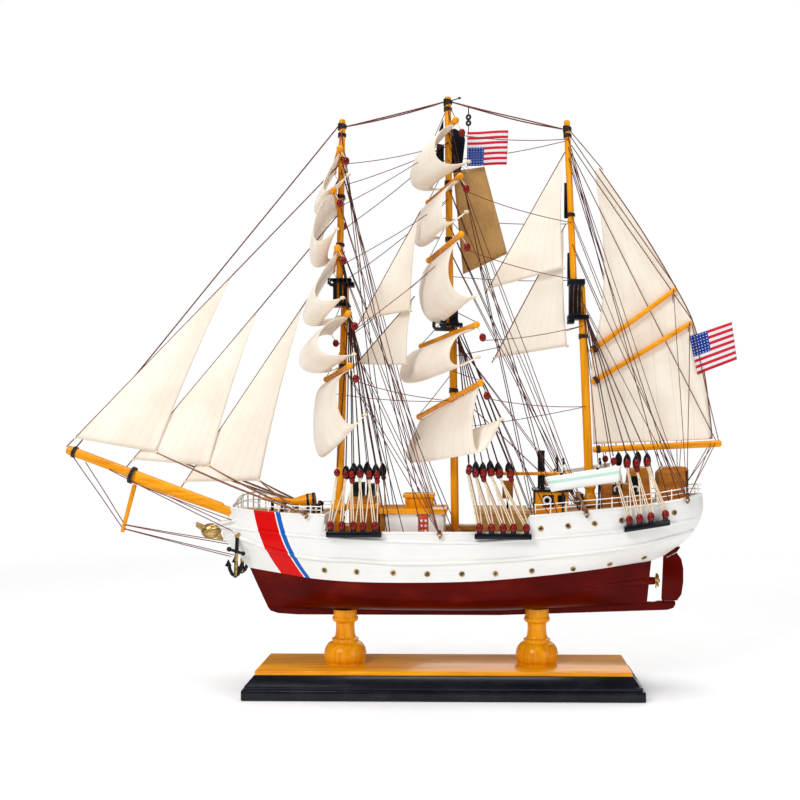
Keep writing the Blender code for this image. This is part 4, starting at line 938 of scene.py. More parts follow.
def ring(bm, centre, radius, thick, axis, part_turn=2 * math.pi, start=0.0):
    """Add a ring, or an open part of one, whose hole faces an axis."""
    spin = Vector(axis).to_track_quat("Z", "Y").to_matrix()
    path = []
    for k in range(RING_STEPS + 1):
        bend = start + part_turn * k / RING_STEPS
        path.append(Vector(centre) + spin @ Vector((math.cos(bend) * radius, math.sin(bend) * radius, 0.0)))
    tubes(bm, [path], thick, 2)


buoys = bmesh.new()
for side in (-1, 1):
    ring(buoys, (75.6, side * 13.9, 141.0), 2.6, 0.75, (0.0, 1.0, 0.0))
    for x in (127.1, 140.2):
        ring(buoys, (x, side * 11.9, 149.2), 2.1, 0.65, (0.0, 1.0, 0.0), 1.5 * math.pi, 1.75 * math.pi)
piece("lifebuoys", buoys, white_enamel)

# After houses: two stained and varnished boxes abaft the mizzen mast with black doors, fitted to
# the deck's rise by their feet.


def stepped_house(bm, outline, half):
    """Add a deckhouse cut to a side outline whose foot follows the deck."""
    fore, aft = outline[0][0], outline[-1][0]
    foot = [(aft + (fore - aft) * i / 6, deck_z(aft + (fore - aft) * i / 6) - 0.2) for i in range(7)]
    sawn(bm, list(outline) + foot, -half, half, edge=0.5)


after_houses = bmesh.new()
forward_box = [(117.0, 153.0), (135.4, 153.0), (137.0, 164.0), (150.0, 165.4), (151.5, 163.6)]
stepped_house(after_houses, forward_box, 11.0)
stepped_house(after_houses, [(157.5, 161.0), (161.5, 165.4), (177.5, 165.6), (179.5, 163.8)], 9.0)
panels(after_houses, 11.2, 0.3, [(144.2, 150.2, 143.5, 161.5)], 0.25)
panels(after_houses, 9.2, 0.3, [(159.5, 167.0, 145.5, 161.5), (168.2, 175.7, 145.5, 161.5)], 0.25)
piece("after_houses", after_houses, stained_wood, ["aft_house", "stern_house"])
doors = bmesh.new()
panels(doors, 11.2, 0.3, [(123.6, 130.6, 144.8, 152.8), (137.2, 143.4, 145.0, 159.0)])
panels(doors, 9.15, 0.3, [(177.4, 179.4, 144.5, 162.5)])
piece("after_house_doors", doors, black_lacquer)

# Ship's boats: carved white hulls with a pale green strake, a gunwale and a cover, slung outboard
# on two bent davits each side by small tackles.
BOAT_AT = Vector((74.4, 37.2, 148.2))
BOAT_LENGTH = 55.0
BOAT_HEIGHT = 10.8
BOAT_TILT = math.radians(8.6)
BOAT_HALF = smooth_line([(0.0, 1.6), (0.12, 4.5), (0.3, 6.0), (0.55, 6.4), (0.85, 5.4), (1.0, 4.4)])
BOAT_SHARE = smooth_line([(0.0, 0.30), (0.3, 0.75), (0.65, 0.95), (1.0, 1.0)])

GREEN_STRAKE = (math.tan(BOAT_TILT), 0.1430, 0.1452, (0.52, 0.75, 0.65))
boat_white = enamel("boat_enamel", (0.90, 0.91, 0.89), (0.80, 0.81, 0.79), strake=GREEN_STRAKE)
for name, side in (("boat_port", -1), ("boat_starboard", 1)):
    slung = Matrix.Translation((BOAT_AT.x, side * BOAT_AT.y, BOAT_AT.z)) @ Matrix.Rotation(-BOAT_TILT, 4, "Y")

    def boat_point(s, t):
        """A point of the boat: from its keel up the side, over the gunwale and in to the cover."""
        level = min(t / 0.7, 1.0)
        inward = max(0.0, (t - 0.7) / 0.3)
        width = BOAT_HALF(s) * BOAT_SHARE(level)
        height = level * BOAT_HEIGHT
        if inward > 0.0:
            width = max(BOAT_HALF(s) - 0.9, 0.0) * (1.0 - max(0.0, (inward - 0.34) / 0.66))
            height = BOAT_HEIGHT - (1.3 if inward > 0.5 else 0.0)
        if t == 0.0 or s in (0.0, 1.0):
            width = 0.0
        x = s * BOAT_LENGTH + (1.0 - level) * (3.0 - 6.0 * s)
        return x, -width, height

    shell = bmesh.new()
    curved(shell, boat_point, 30, 20)
    bmesh.ops.transform(shell, matrix=slung, verts=shell.verts)
    piece(f"{name}_hull", shell, boat_white, [name])
    gunwales = bmesh.new()
    for near in (-1, 1):
        strip = []
        for i in range(25):
            s = 0.01 + 0.96 * i / 24
            strip.append(slung @ Vector((s * BOAT_LENGTH, near * (BOAT_HALF(s) - 0.1), BOAT_HEIGHT - 0.3)))
        tubes(gunwales, [strip], 0.6, 2)
    piece(f"{name}_gunwales", gunwales, white_enamel)
    davits = bmesh.new()
    tackles = bmesh.new()
    for x in (86.0, 112.0):
        foot = Vector((x, side * (SHEER_HALF(x) - 4.4), deck_z(x)))
        top = Vector((x, side * 31.8, 171.0))
        arm = [foot, foot + Vector((0.0, 0.0, 16.0)), Vector((x, side * 29.6, 160.0)),
               Vector((x, side * 30.0, 168.0)), top, Vector((x, side * 34.6, 172.4)),
               Vector((x, side * 37.2, 171.0))]
        tubes(davits, [arm], 0.75, 2)
        seat = slung @ Vector((x - BOAT_AT.x, 0.0, BOAT_HEIGHT - 1.2))
        tubes(tackles, [[arm[-1] + Vector((shift, 0.0, 0.0)), seat] for shift in (-0.9, 0.0, 0.9)], 0.22)
        ball(davits, arm[-1] - Vector((0.0, 0.0, 1.6)), 1.3, (0.8, 0.6, 1.2), 10, 7)
        ball(davits, seat + Vector((0.0, 0.0, 1.6)), 1.3, (0.8, 0.6, 1.2), 10, 7)
    piece(f"{name}_davits", davits, black_lacquer)
    piece(f"{name}_tackles", tackles, white_enamel)

# Open rails: thin white stanchions along the quarterdeck and forecastle with two wires through
# them, and bent grey-beige hoops round the bow.
RAIL_WIRES = ((0.52, 0.3), (1.0, 0.42))
RAIL_INSET = 1.3
STERN_RAIL_RISE = 7.0
BOW_RAIL_RISE = smooth_line([(-157.5, 0.5), (-155.1, 3.6), (-150.0, 9.6), (-141.2, 11.6), (-133.2, 9.9),
                             (-124.0, 7.0), (-115.7, 5.4), (-88.0, 5.2)])


def rail(bm, places, rise, side):
    """Add stanchions with an upper and a lower wire along one side."""
    for share, radius in RAIL_WIRES:
        wire = []
        for i in range(len(places) * 3 - 2):
            x = places[0] + (places[-1] - places[0]) * i / (len(places) * 3 - 3)
            wire.append((x, side * max(SHEER_HALF(x) - RAIL_INSET, 0.4), SHEER_Z(x) + rise(x) * share))
        tubes(bm, [wire], radius, 1)
    for x in places:
        y = side * max(SHEER_HALF(x) - RAIL_INSET, 0.4)
        bar(bm, (x, y, SHEER_Z(x) - 0.8), (x, y, SHEER_Z(x) + rise(x) + 0.2), 0.42, 0.36, 8)
        ball(bm, (x, y, SHEER_Z(x) + rise(x) + 0.3), 0.62, segments=8, rings=6)


bow_rails = bmesh.new()
white_rails = bmesh.new()
for side in (-1, 1):
    rail(bow_rails, [-157.0 + 4.2 * i for i in range(6)], BOW_RAIL_RISE, side)
    rail(white_rails, [-136.0 + 8.0 * i for i in range(7)], BOW_RAIL_RISE, side)
    rail(white_rails, [66.0 + 11.0 * i for i in range(12)], lambda x: STERN_RAIL_RISE, side)
for share, radius in RAIL_WIRES:
    height = SHEER_Z(187.0) + STERN_RAIL_RISE * share
    round_stern = ((187.0, -7.2), (189.6, -3.6), (190.2, 0.0), (189.6, 3.6), (187.0, 7.2))
    tubes(white_rails, [[(x, y, height) for x, y in round_stern]], radius, 1)
beige_paint = enamel("beige_rail_paint", (0.50, 0.45, 0.36), (0.34, 0.30, 0.23))
piece("bow_rails", bow_rails, beige_paint)
piece("quarter_rails", white_rails, white_enamel)

# Rudder and propeller: a red board on a round stock that turns in the counter, and a small cast
# brass screw with four twisted blades that spins on its pin.


def refined(node, edge):
    """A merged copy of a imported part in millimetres, with its corners eased."""
    bm = bmesh.new()
    bm.from_mesh(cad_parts[node].data)
    bmesh.ops.scale(bm, vec=(1000.0, 1000.0, 1000.0), verts=bm.verts)
    bmesh.ops.remove_doubles(bm, verts=bm.verts, dist=0.01)
    bmesh.ops.dissolve_limit(bm, angle_limit=math.radians(1.0), verts=bm.verts, edges=bm.edges)
    ease(bm, edge)
    return bm


piece("rudder_board", refined("rudder", 0.3), red_gloss, ["rudder"], "rudder")

BLADES = 4
BLADE_PITCH = math.radians(32)
BLADE_FORM = Matrix.Diagonal((0.26, 1.15, 1.5, 1.0))
screw_at = Matrix.Translation((157.6, 0.0, SHAFT_Z))
screw = bmesh.new()
turned(screw, rounded([(0.0, -1.4), (2.2, -1.4), (2.3, -0.4), (1.9, 1.0), (1.2, 2.0), (0.0, 2.4)], 3),
       screw_at @ Matrix.Rotation(math.pi / 2, 4, "Y"), 20)
bar(screw, (151.0, 0.0, SHAFT_Z), (157.0, 0.0, SHAFT_Z), 0.8)
for k in range(BLADES):
    spread = Matrix.Rotation(k * 2 * math.pi / BLADES + 0.5, 4, "X") @ Matrix.Translation((0.0, 0.0, 3.8))
    twist = Matrix.Rotation(BLADE_PITCH, 4, "Z") @ BLADE_FORM
    bmesh.ops.create_uvsphere(screw, u_segments=18, v_segments=12, radius=1.9,
                              matrix=screw_at @ spread @ twist)
piece("propeller_screw", screw, brass, ["propeller"], "propeller")

# Bow gear: a varnished bowsprit and jib-boom lashed side by side, a dolphin striker below, a cast
# brass bird under the bowsprit, and an anchor of brass and black iron at each cathead.
BOWSPRIT = (Vector((-152.0, 0.0, 128.8)), Vector((-236.8, 0.0, 157.6)))
JIB_BOOM = (Vector((-165.4, 0.0, 134.5)), Vector((-282.5, 0.0, 178.0)))


def spar(bm, foot, head, radius, tip=None, steps=20):
    """Add a round wooden spar, its ends rounded over."""
    foot, head = Vector(foot), Vector(head)
    tip = radius if tip is None else tip
    length = (head - foot).length
    line = [(0.0, 0.0), (radius * 0.72, 0.0), (radius * 0.95, radius * 0.2), (radius, radius * 0.5)]
    line += [(radius + (tip - radius) * k / 8, radius + (length - radius * 2) * k / 8) for k in range(9)]
    line += [(tip, length - tip * 0.5), (tip * 0.9, length - tip * 0.2), (tip * 0.65, length), (0.0, length)]
    turn = (head - foot).to_track_quat("Z", "Y").to_matrix().to_4x4()
    turned(bm, line, Matrix.Translation(foot) @ turn, steps)


sprit = bmesh.new()
spar(sprit, *BOWSPRIT, 3.5)
spar(sprit, *JIB_BOOM, 3.5)
piece("bowsprit_spars", sprit, varnish_along, ["bowsprit"])
striker = bmesh.new()
spar(striker, (-231.6, 0.0, 151.6), (-241.0, 0.0, 116.1), 1.7, 1.5, 16)
piece("dolphin_striker_spar", striker, varnish_upright, ["dolphin_striker"])

bird = bmesh.new()
ball(bird, (-174.2, 0.0, 117.0), 6.6, (1.15, 0.62, 0.9), 24, 16)
for k in range(7):
    share = k / 6
    at = Vector((-178.0, 0.0, 118.0)).lerp(Vector((-184.5, 0.0, 121.6)), share)
    ball(bird, at, 3.1 - share * 0.9, (0.6, 1.0, 1.0), 14, 9)
for side in (-1, 1):
    for k in range(4):
        wing = Vector((-170.5 - k * 2.1, side * (4.0 - k * 0.15), 118.4 - k * 0.6))
        ball(bird, wing, 2.5 - k * 0.2, (1.7, 0.28, 0.8), 12, 8)
bar(bird, (-169.5, 0.0, 113.8), (-165.6, 0.0, 110.4), 3.0, 1.2, 14)
piece("bird_figurehead", bird, brass, ["figurehead"])
beak = bmesh.new()
beak_way = Vector((-4.0, 0.0, 1.4)).to_track_quat("Z", "Y").to_matrix().to_4x4()
turned(beak, rounded([(0.0, -0.4), (1.9, 0.0), (1.7, 1.6), (0.8, 3.8), (0.0, 4.6)], 4),
       Matrix.Translation((-183.6, 0.0, 121.3)) @ beak_way, 16)
piece("bird_beak", beak, white_enamel)

for name, side in (("anchor_port", -1), ("anchor_starboard", 1)):
    y = side * 12.6
    irons = bmesh.new()
    bar(irons, (-158.4, y - side * 0.9, 104.7), (-148.0, y - side * 0.9, 101.5), 1.2, 1.0, 12)
    ball(irons, (-158.4, y - side * 0.9, 104.7), 1.9)
    ball(irons, (-148.0, y - side * 0.9, 101.5), 1.7)
    curve = ((-158.6, 93.8), (-157.6, 89.6), (-156.0, 86.4), (-153.6, 84.8), (-151.4, 86.6),
             (-149.9, 89.4), (-149.0, 92.6))
    arms = [Vector((x, y, z)) for x, z in curve]
    tubes(irons, [arms], 1.35, 2)
    for tip, lean in ((arms[0], -1), (arms[-1], 1)):
        bmesh.ops.create_cone(irons, cap_ends=True, segments=4, radius1=2.6, radius2=0.2, depth=5.0,
                              matrix=Matrix.Translation(tip + Vector((lean * 0.2, 0.0, 1.0))))
    bar(irons, (-152.6, side * 10.8, 113.4), (-152.9, side * 11.4, 102.0), 1.3, 1.5, 12)
    piece(f"{name}_irons", irons, black_lacquer, [name])
    shank = bmesh.new()
    bar(shank, (-152.9, side * 11.4, 104.0), (-153.4, y, 85.2), 1.3, 1.6, 12)
    ring(shank, (-152.6, side * 10.6, 114.6), 1.5, 0.6, (0.0, 1.0, 0.0))
    block(shank, (-153.4, side * 9.6 - 1.2, 112.0), (-151.2, side * 9.6 + 1.2, 116.6), 0.3)
    piece(f"{name}_shank", shank, brass)

# Masts: six tapered varnished spars. Each topmast stands beside its lower mast at a doubling of
# upright black strips between a trestle and a cap, and the mizzen stands in a turned foot.


class Pole:
    """A mast's axis from foot to head."""

    def __init__(self, foot, head, radius, head_radius):
        self.foot, self.head = Vector(foot), Vector(head)
        self.radius, self.head_radius = radius, head_radius

    def share(self, z):
        return (z - self.foot.z) / (self.head.z - self.foot.z)

    def at(self, z):
        return self.foot.lerp(self.head, self.share(z))

    def radius_at(self, z):
        return self.radius + (self.head_radius - self.radius) * self.share(z)


FORE_LOWER = Pole((-79.0, 0.0, 113.0), (-73.9, 1.6, 303.0), 3.0, 2.7)
FORE_TOP = Pole((-78.0, -3.5, 284.0), (-76.0, 0.0, 424.0), 2.6, 2.4)
MAIN_LOWER = Pole((8.0, 0.0, 113.0), (6.2, 2.6, 286.0), 3.0, 2.8)
MAIN_TOP = Pole((4.6, -3.4, 268.0), (2.6, 0.0, 440.5), 2.7, 2.4)
MIZZEN_LOWER = Pole((108.4, 0.0, deck_z(108.4)), (101.8, 1.2, 300.0), 3.3, 2.9)
MIZZEN_TOP = Pole((97.0, -1.6, 277.0), (91.0, 0.0, 422.5), 2.6, 2.3)
MASTS = {"fore_lower_mast": FORE_LOWER, "fore_topmast": FORE_TOP, "main_lower_mast": MAIN_LOWER,
         "main_topmast": MAIN_TOP, "mizzen_lower_mast": MIZZEN_LOWER, "mizzen_topmast": MIZZEN_TOP}
for name, pole in MASTS.items():
    mast = bmesh.new()
    spar(mast, pole.foot, pole.head, pole.radius, pole.head_radius, 24)
    piece(f"{name}_spar", mast, varnish_upright, [name])

foot = bmesh.new()
foot_line = [(3.2, 152.0), (4.2, 151.0), (4.4, 149.6), (3.6, 148.6), (3.5, 146.0), (4.8, 142.0),
             (5.6, 138.6), (5.0, 136.4), (3.0, 135.8)]
turned(foot, rounded(foot_line, 4), Matrix.Translation((108.2, 0.0, 0.0)), 28)
piece("mizzen_mast_foot", foot, varnish_upright)

doublings = bmesh.new()
CHEEKS = (
    # The fore and after edges of each strip, their feet and heads, and where both rows stand.
    (((-82.2, -79.4), (-77.7, -75.5), (-74.4, -71.6)), 285.6, 305.0, -6.9, 5.0),
    (((-2.6, 1.6), (3.8, 10.2)), 270.6, 285.5, -7.2, 5.8),
    (((92.6, 95.2), (95.8, 98.4), (98.9, 101.0)), 277.4, 300.5, -5.2, 4.6),
)
for strips, low_z, high_z, near_y, far_y in CHEEKS:
    for fore, aft in strips:
        for y in (near_y, far_y):
            block(doublings, (fore, y - 0.7, low_z), (aft, y + 0.7, high_z), 0.35)
for fore, aft, near_y, far_y, low_z, high_z in (
        (-83.4, -70.0, -7.8, 6.0, 284.2, 286.6), (-82.6, -68.6, -7.6, 5.8, 301.8, 305.0),
        (-72.2, -66.8, -5.0, 3.0, 298.8, 302.4), (-3.2, 13.8, -8.0, 6.6, 269.2, 271.8),
        (91.4, 104.2, -6.0, 5.4, 299.8, 304.2), (91.4, 107.0, -6.0, 5.6, 274.2, 277.8),
        (91.4, 96.4, -6.0, 5.6, 271.4, 274.6), (91.2, 93.4, -2.2, 0.6, 304.0, 324.0)):
    block(doublings, (fore, near_y, low_z), (aft, far_y, high_z), 0.5)
FORE_BRACKET = ((-82.0, 304.0), (-85.6, 304.6), (-85.8, 301.2), (-82.0, 300.2))
MAIN_BRACKET = ((-7.6, 272.6), (-7.8, 269.4), (-6.4, 267.6), (3.4, 267.4), (8.0, 268.0))
for y in (-6.2, 4.8):
    tubes(doublings, [[(x, y, z) for x, z in FORE_BRACKET]], 0.9, 2)
    tubes(doublings, [[(x, y, z) for x, z in MAIN_BRACKET]], 1.1, 2)
    tubes(doublings, [[(-76.4, y * 0.6, 319.0), (-73.2, y * 0.6, 304.6)]], 0.9, 2)
piece("mast_doublings", doublings, black_lacquer)

# Yards: ten varnished dowels across the fore and main masts with rounded ends, each held to its
# mast by a black lashing, with a red bead hung under each end on a cream thread.
SQUARE = {
    # The mast, the height, half the head and half the foot of the sail below, the degrees that the
    # yard is braced round, its cant, then the sail's profile, its belly and its lean.
    "fore_royal": (FORE_TOP, 393.2, 26.0, 33.0, 11.5, 3.0,
                   ((8.4, 12.1), (24.0, 45.0), (-7.0, 17.0)), (10.0, 9.0), (0.0, 0.0)),
    "fore_topgallant": (FORE_TOP, 361.5, 32.0, 40.0, 3.8, 3.0,
                        ((11.2, -5.3), (26.7, 56.0), (-3.0, 25.6)), (9.0, 12.0), (0.0, 0.0)),
    "fore_upper_topsail": (FORE_TOP, 319.2, 39.0, 46.0, 9.2, 3.0,
                           ((11.2, 12.4), (30.6, 43.3), (-4.5, 33.0)), (14.5, 12.0), (0.0, 0.0)),
    "fore_lower_topsail": (FORE_LOWER, 272.3, 46.0, 53.0, 14.5, 3.0,
                           ((16.8, -5.5), (41.3, 34.2), (-4.9, 26.2)), (13.5, 6.5), (0.0, 0.0)),
    "fore_course": (FORE_LOWER, 235.0, 51.0, 52.0, 15.6, 3.0,
                    ((19.0, 5.5), (5.3, 56.7), (-11.4, 31.5)), (20.0, 26.0), (0.0, 0.0)),
    "main_royal": (MAIN_TOP, 412.7, 28.0, 35.0, 18.7, 3.0,
                   ((16.9, -1.0), (25.5, 38.4), (-10.0, 28.0)), (17.0, 7.0), (0.0, 0.0)),
    "main_topgallant": (MAIN_TOP, 370.8, 35.0, 43.0, 19.4, 3.0,
                        ((14.1, -1.7), (21.2, 48.8), (-5.3, 23.4)), (9.0, 5.0), (0.0, 0.0)),
    "main_upper_topsail": (MAIN_TOP, 327.6, 42.0, 50.0, 16.7, 3.5,
                           ((10.2, 6.8), (15.1, 43.0), (-9.6, 42.0)), (11.0, 10.0), (0.0, 0.0)),
    "main_lower_topsail": (MAIN_LOWER, 262.6, 49.0, 56.0, 23.3, 4.5,
                           ((20.1, -1.3), (28.5, 41.1), (-2.4, 20.1)), (10.0, 5.0), (0.0, 0.0)),
    "main_course": (MAIN_LOWER, 214.3, 54.0, 56.0, 23.6, 11.6,
                    ((7.2, 17.6), (7.9, 78.0), (-16.0, 22.3)), (22.0, 6.0), (9.0, 14.0)),
}
YARD_RADIUS = 2.0
BEAD_HANG = Vector((4.5, 0.0, -9.0))


def yard_line(pole, z, half, brace, cant):
    """Middle of a yard in front of its mast, and half of it as a vector to the port end."""
    mast = pole.at(z)
    middle = Vector((mast.x - pole.radius_at(z) - YARD_RADIUS + 0.7, mast.y, z))
    return middle, Vector((half * math.tan(math.radians(brace)), -half, cant))


def cord_paint(name, dark, light):
    """Twisted cotton cord: short slanted strands that catch the light."""
    paint = Paint(name, Specular_IOR_Level=0.2)
    strands = paint.noise(paint.spot((1.0, 1.0, 0.6)), 1500.0, 3.0)
    paint.feed("Base Color", paint.ramp(strands, (0.35, dark), (0.65, light)))
    paint.feed("Roughness", 0.6 + strands * 0.3)
    paint.bump(strands, 0.7, 0.0002)
    return paint


brown_cord = cord_paint("brown_cord", (0.07, 0.018, 0.012), (0.24, 0.070, 0.042))
tan_cord = cord_paint("tan_cord", (0.12, 0.05, 0.025), (0.38, 0.19, 0.10))
dark_cord = cord_paint("dark_cord", (0.028, 0.009, 0.008), (0.12, 0.036, 0.028))
black_cord = cord_paint("black_cord", (0.008, 0.007, 0.007), (0.05, 0.045, 0.045))
cream_cord = cord_paint("cream_cord", (0.70, 0.56, 0.38), (0.88, 0.76, 0.58))
varnish_across = varnish("honey_varnish_across", (420.0, 35.0, 420.0), *HONEY)

yards = bmesh.new()
yard_beads = bmesh.new()
yard_lashings = bmesh.new()
bead_threads = bmesh.new()
YARD_ENDS = {}
for name, (pole, z, half, _, brace, cant, _, _, _) in SQUARE.items():
    middle, reach = yard_line(pole, z, half + 1.0, brace, cant)
    port, starboard = middle + reach, middle - reach
    YARD_ENDS[name] = (port, starboard)
    beyond = reach.normalized() * 1.6
    spar(yards, port + beyond, starboard - beyond, YARD_RADIUS, YARD_RADIUS, 16)
    ring(yard_lashings, middle + Vector((2.4, 0.0, 0.0)), 3.9, 0.45, (0.3, 0.0, 1.0))
    ring(yard_lashings, middle + Vector((2.4, 0.0, 1.0)), 3.9, 0.45, (-0.3, 0.0, 1.0))
    for end in (port, starboard):
        hang = end + BEAD_HANG
        ball(yards, end, 2.55, (1.0, 1.0, 1.0), 18, 12)
        ball(yard_beads, hang, 2.5, (1.0, 1.0, 1.2), 18, 12)
        tubes(bead_threads, [[end + Vector((0.4, 0.0, -1.2)), hang + Vector((-0.8, 0.0, 2.3))]], 0.32)
        for shift in (-0.6, 0.0, 0.6):
            ring(bead_threads, end + reach.normalized() * shift, 2.05, 0.3, reach)
piece("yards", yards, varnish_across)
piece("yard_beads", yard_beads, bead_red)
piece("yard_lashings", yard_lashings, black_cord)
piece("bead_threads", bead_threads, cream_cord)

# Square sails: starched cotton panels sewn from narrow cloths, laced to their yards and shaped on
# a former, so that they stay bellied with their feet curled aft.
CLOTH = 0.55
LACED = 0.97
SAIL_GAP = 0.79
SKEW_PEAK = 6.75
LEAST_WIDTH = 11.0
CUT_ALLOWANCE = 1.25


def canvas(name, cloths):
    """Starched cotton: a fine weave, seams between the cloths, stitched hems and soft stains."""
    paint = Paint(name, Sheen_Weight=0.25)
    u, v, _ = paint.axes("UV")
    stains = paint.noise(paint.spot(), 30.0, 5.0)
    weave = paint.noise(paint.spot(), 1700.0, 2.0)
    place = (u * cloths + v * v * 0.35).fraction().distance(0.5)
    seam, stitch = place > 0.478, place > 0.45
    hem = (u.distance(0.5) - 0.485).larger(v.distance(0.5) - 0.485) > 0.0
    cloth = paint.ramp(stains, (0.3, (0.86, 0.755, 0.62)), (0.52, (0.92, 0.835, 0.72)),
                       (0.75, (0.95, 0.885, 0.785)))
    sewn = paint.mix(seam * 0.4, cloth, (0.72, 0.55, 0.37))
    paint.feed("Base Color", paint.mix(hem * 0.35, sewn, (0.78, 0.62, 0.42)))
    paint.feed("Roughness", 0.78 + weave * 0.18)
    paint.bump(weave * 0.5 + stitch * 0.5 + hem * 0.6 + stains * 0.4, 0.35, 0.0003)
    return paint


def sail_mesh(point, across, up):
    """A cloth whose surface is point(s, t), with its weave laid out flat."""
    bm = bmesh.new()
    laid = bm.loops.layers.uv.new("UVMap")
    bmesh.ops.create_grid(bm, x_segments=across, y_segments=up, size=0.5)
    for face in bm.faces:
        for loop in face.loops:
            loop[laid].uv = (loop.vert.co.x + 0.5, loop.vert.co.y + 0.5)
    for vert in bm.verts:
        vert.co = point(vert.co.x + 0.5, vert.co.y + 0.5)
    bmesh.ops.remove_doubles(bm, verts=bm.verts, dist=0.001)
    return bm


def hang_cloth(name, bm, paint, node, thickness=CLOTH):
    area = sum(face.calc_area() for face in bm.faces)
    low = [min(vert.co[i] for vert in bm.verts) for i in range(3)]
    high = [max(vert.co[i] for vert in bm.verts) for i in range(3)]
    longest = math.dist(low, high)
    wide = max(area / longest, LEAST_WIDTH) * CUT_ALLOWANCE
    made = piece(name, bm, paint, [node] if node else [])
    thick = made.modifiers.new("cloth", "SOLIDIFY")
    thick.thickness = thickness * MM
    thick.offset = 0.0
    wide * MM
    min(area, wide * longest) * MM * MM


def bezier(t, points):
    """A cubic curve that starts at zero."""
    one, two, three = (Vector(point) for point in points)
    return 3 * t * (1 - t) ** 2 * one + 3 * t * t * (1 - t) * two + t ** 3 * three


wide_canvas = canvas("cream_canvas_wide", 11.0)
clew_knots = bmesh.new()
for name, (pole, z, head, foot_half, brace, cant, profile, belly, lean) in SQUARE.items():
    middle, reach = yard_line(pole, z, head, brace, cant)

    def sail_point(across, t):
        s = across * 2 - 1
        forward, down = bezier(t, profile)
        width = head + (foot_half - head) * t
        swell = t ** 1.2 * (1 - s * s)
        skew = SKEW_PEAK * t * t * (1 - t) * (s + 1) / 2
        at = middle + reach * (-s * LACED)
        at.y = middle.y + s * width * LACED
        at.x -= forward + belly[0] * swell + lean[0] * skew
        at.z -= down + belly[1] * swell - lean[1] * skew + YARD_RADIUS + SAIL_GAP
        return at

    hang_cloth(f"{name}_sail", sail_mesh(sail_point, 30, 24), wide_canvas, name)
    for across in (0.0, 1.0):
        ball(clew_knots, sail_point(across, 1.0), 1.5, (1.3, 1.0, 0.85), 12, 8)
piece("sail_clew_knots", clew_knots, cream_cord)

# Jibs and staysails: three-cornered cloths sewn to brown stays, which run from the jib-boom up to
# the foremast and between the masts.
STAYSAILS = {
    # The head, the tack and the clew of each, and its belly, to port where it is negative.
    "outer_jib": ((-159.3, -2.0, 306.4), (-276.0, -2.0, 186.5), (-215.0, -2.0, 175.9), -3.0),
    "middle_jib": ((-140.0, 0.0, 280.9), (-233.0, 0.0, 170.6), (-175.8, 0.0, 165.8), -3.0),
    "inner_jib": ((-106.4, 2.0, 284.2), (-194.4, 2.0, 153.8), (-138.3, 2.0, 154.6), -3.0),
    "main_upper_staysail": ((-19.0, -4.0, 352.0), (-62.0, -1.0, 274.4), (-25.0, -4.0, 281.0), -1.5),
    "main_lower_staysail": ((-24.0, 0.6, 290.0), (-66.0, 0.6, 241.5), (-28.0, 0.6, 241.3), 1.0),
    "mizzen_upper_staysail": ((88.0, -0.5, 396.0), (32.4, -4.0, 296.9), (88.0, -4.0, 312.3), -1.5),
    "mizzen_lower_staysail": ((88.8, -0.6, 342.8), (37.3, 1.5, 246.1), (91.3, 1.5, 255.0), 1.5),
}
narrow_canvas = canvas("cream_canvas_narrow", 7.0)
tack_knots = bmesh.new()
for name, (head, tack, clew, bulge) in STAYSAILS.items():
    head, tack, clew = Vector(head), Vector(tack), Vector(clew)
    for corner in (tack, clew):
        ball(tack_knots, corner, 1.2, (1.2, 1.0, 0.9), 10, 7)
    tip = head + (clew - head).normalized() * 2.5

    def stay_point(s, t):
        at = tack.lerp(head, t).lerp(clew.lerp(tip, t), s)
        at.y += bulge * math.sin(math.pi * s) * math.sin(math.pi * min(t + 0.15, 1.0))
        hollow = (clew - tack).normalized() * math.sin(math.pi * t) * s * 1.6
        return at - hollow

    hang_cloth(f"{name}_sail", sail_mesh(stay_point, 22, 26), narrow_canvas, name)
piece("staysail_knots", tack_knots, cream_cord)

# Spanker: one tall cloth between the mizzen mast, the boom and two gaffs, whose after edge carries
# a leech rope. The gaffs and the boom are varnished dowels jawed against the mast.
LUFF = smooth_line([(181, 111.0), (240, 109.5), (285, 117.0), (326, 118.6), (387, 111.8)])
LEECH = smooth_line([(181, 198.4), (193, 198.0), (240, 192.0), (273, 184.3), (297, 172.4), (340, 147.0),
                     (387, 115.0)])
SPANKER_LOW = 181.0
SPANKER_HIGH = 387.0
SPANKER_Y = 1.9
FOOT_RISE = 0.0474


def spanker_point(s, t):
    """A point of the spanker: s from luff to leech, t from the boom to the peak."""
    level = SPANKER_LOW + (SPANKER_HIGH - SPANKER_LOW) * t
    x = LUFF(level) + (LEECH(level) - LUFF(level)) * s
    foot_z = 181.9 + (x - 110.0) * FOOT_RISE
    swell = 1.5 * math.sin(math.pi * s) * math.sin(math.pi * t)
    return x, SPANKER_Y + swell, max(level, foot_z) if t else foot_z


hang_cloth("spanker_sail", sail_mesh(spanker_point, 24, 52), narrow_canvas, "spanker")
GAFFS = (((108.3, -0.7, 250.5), (171.6, -0.7, 296.9)), ((109.3, -0.7, 227.6), (183.5, -0.7, 272.2)))
BOOM = (Vector((110.3, 0.0, 178.1)), Vector((205.1, 0.0, 182.6)))
spars = bmesh.new()
for start, end in GAFFS:
    spar(spars, start, end, 1.9, 1.8, 18)
spar(spars, *BOOM, 2.3, 2.6, 20)
piece("spanker_spars", spars, varnish_along, ["upper_gaff", "lower_gaff", "spanker_boom"])

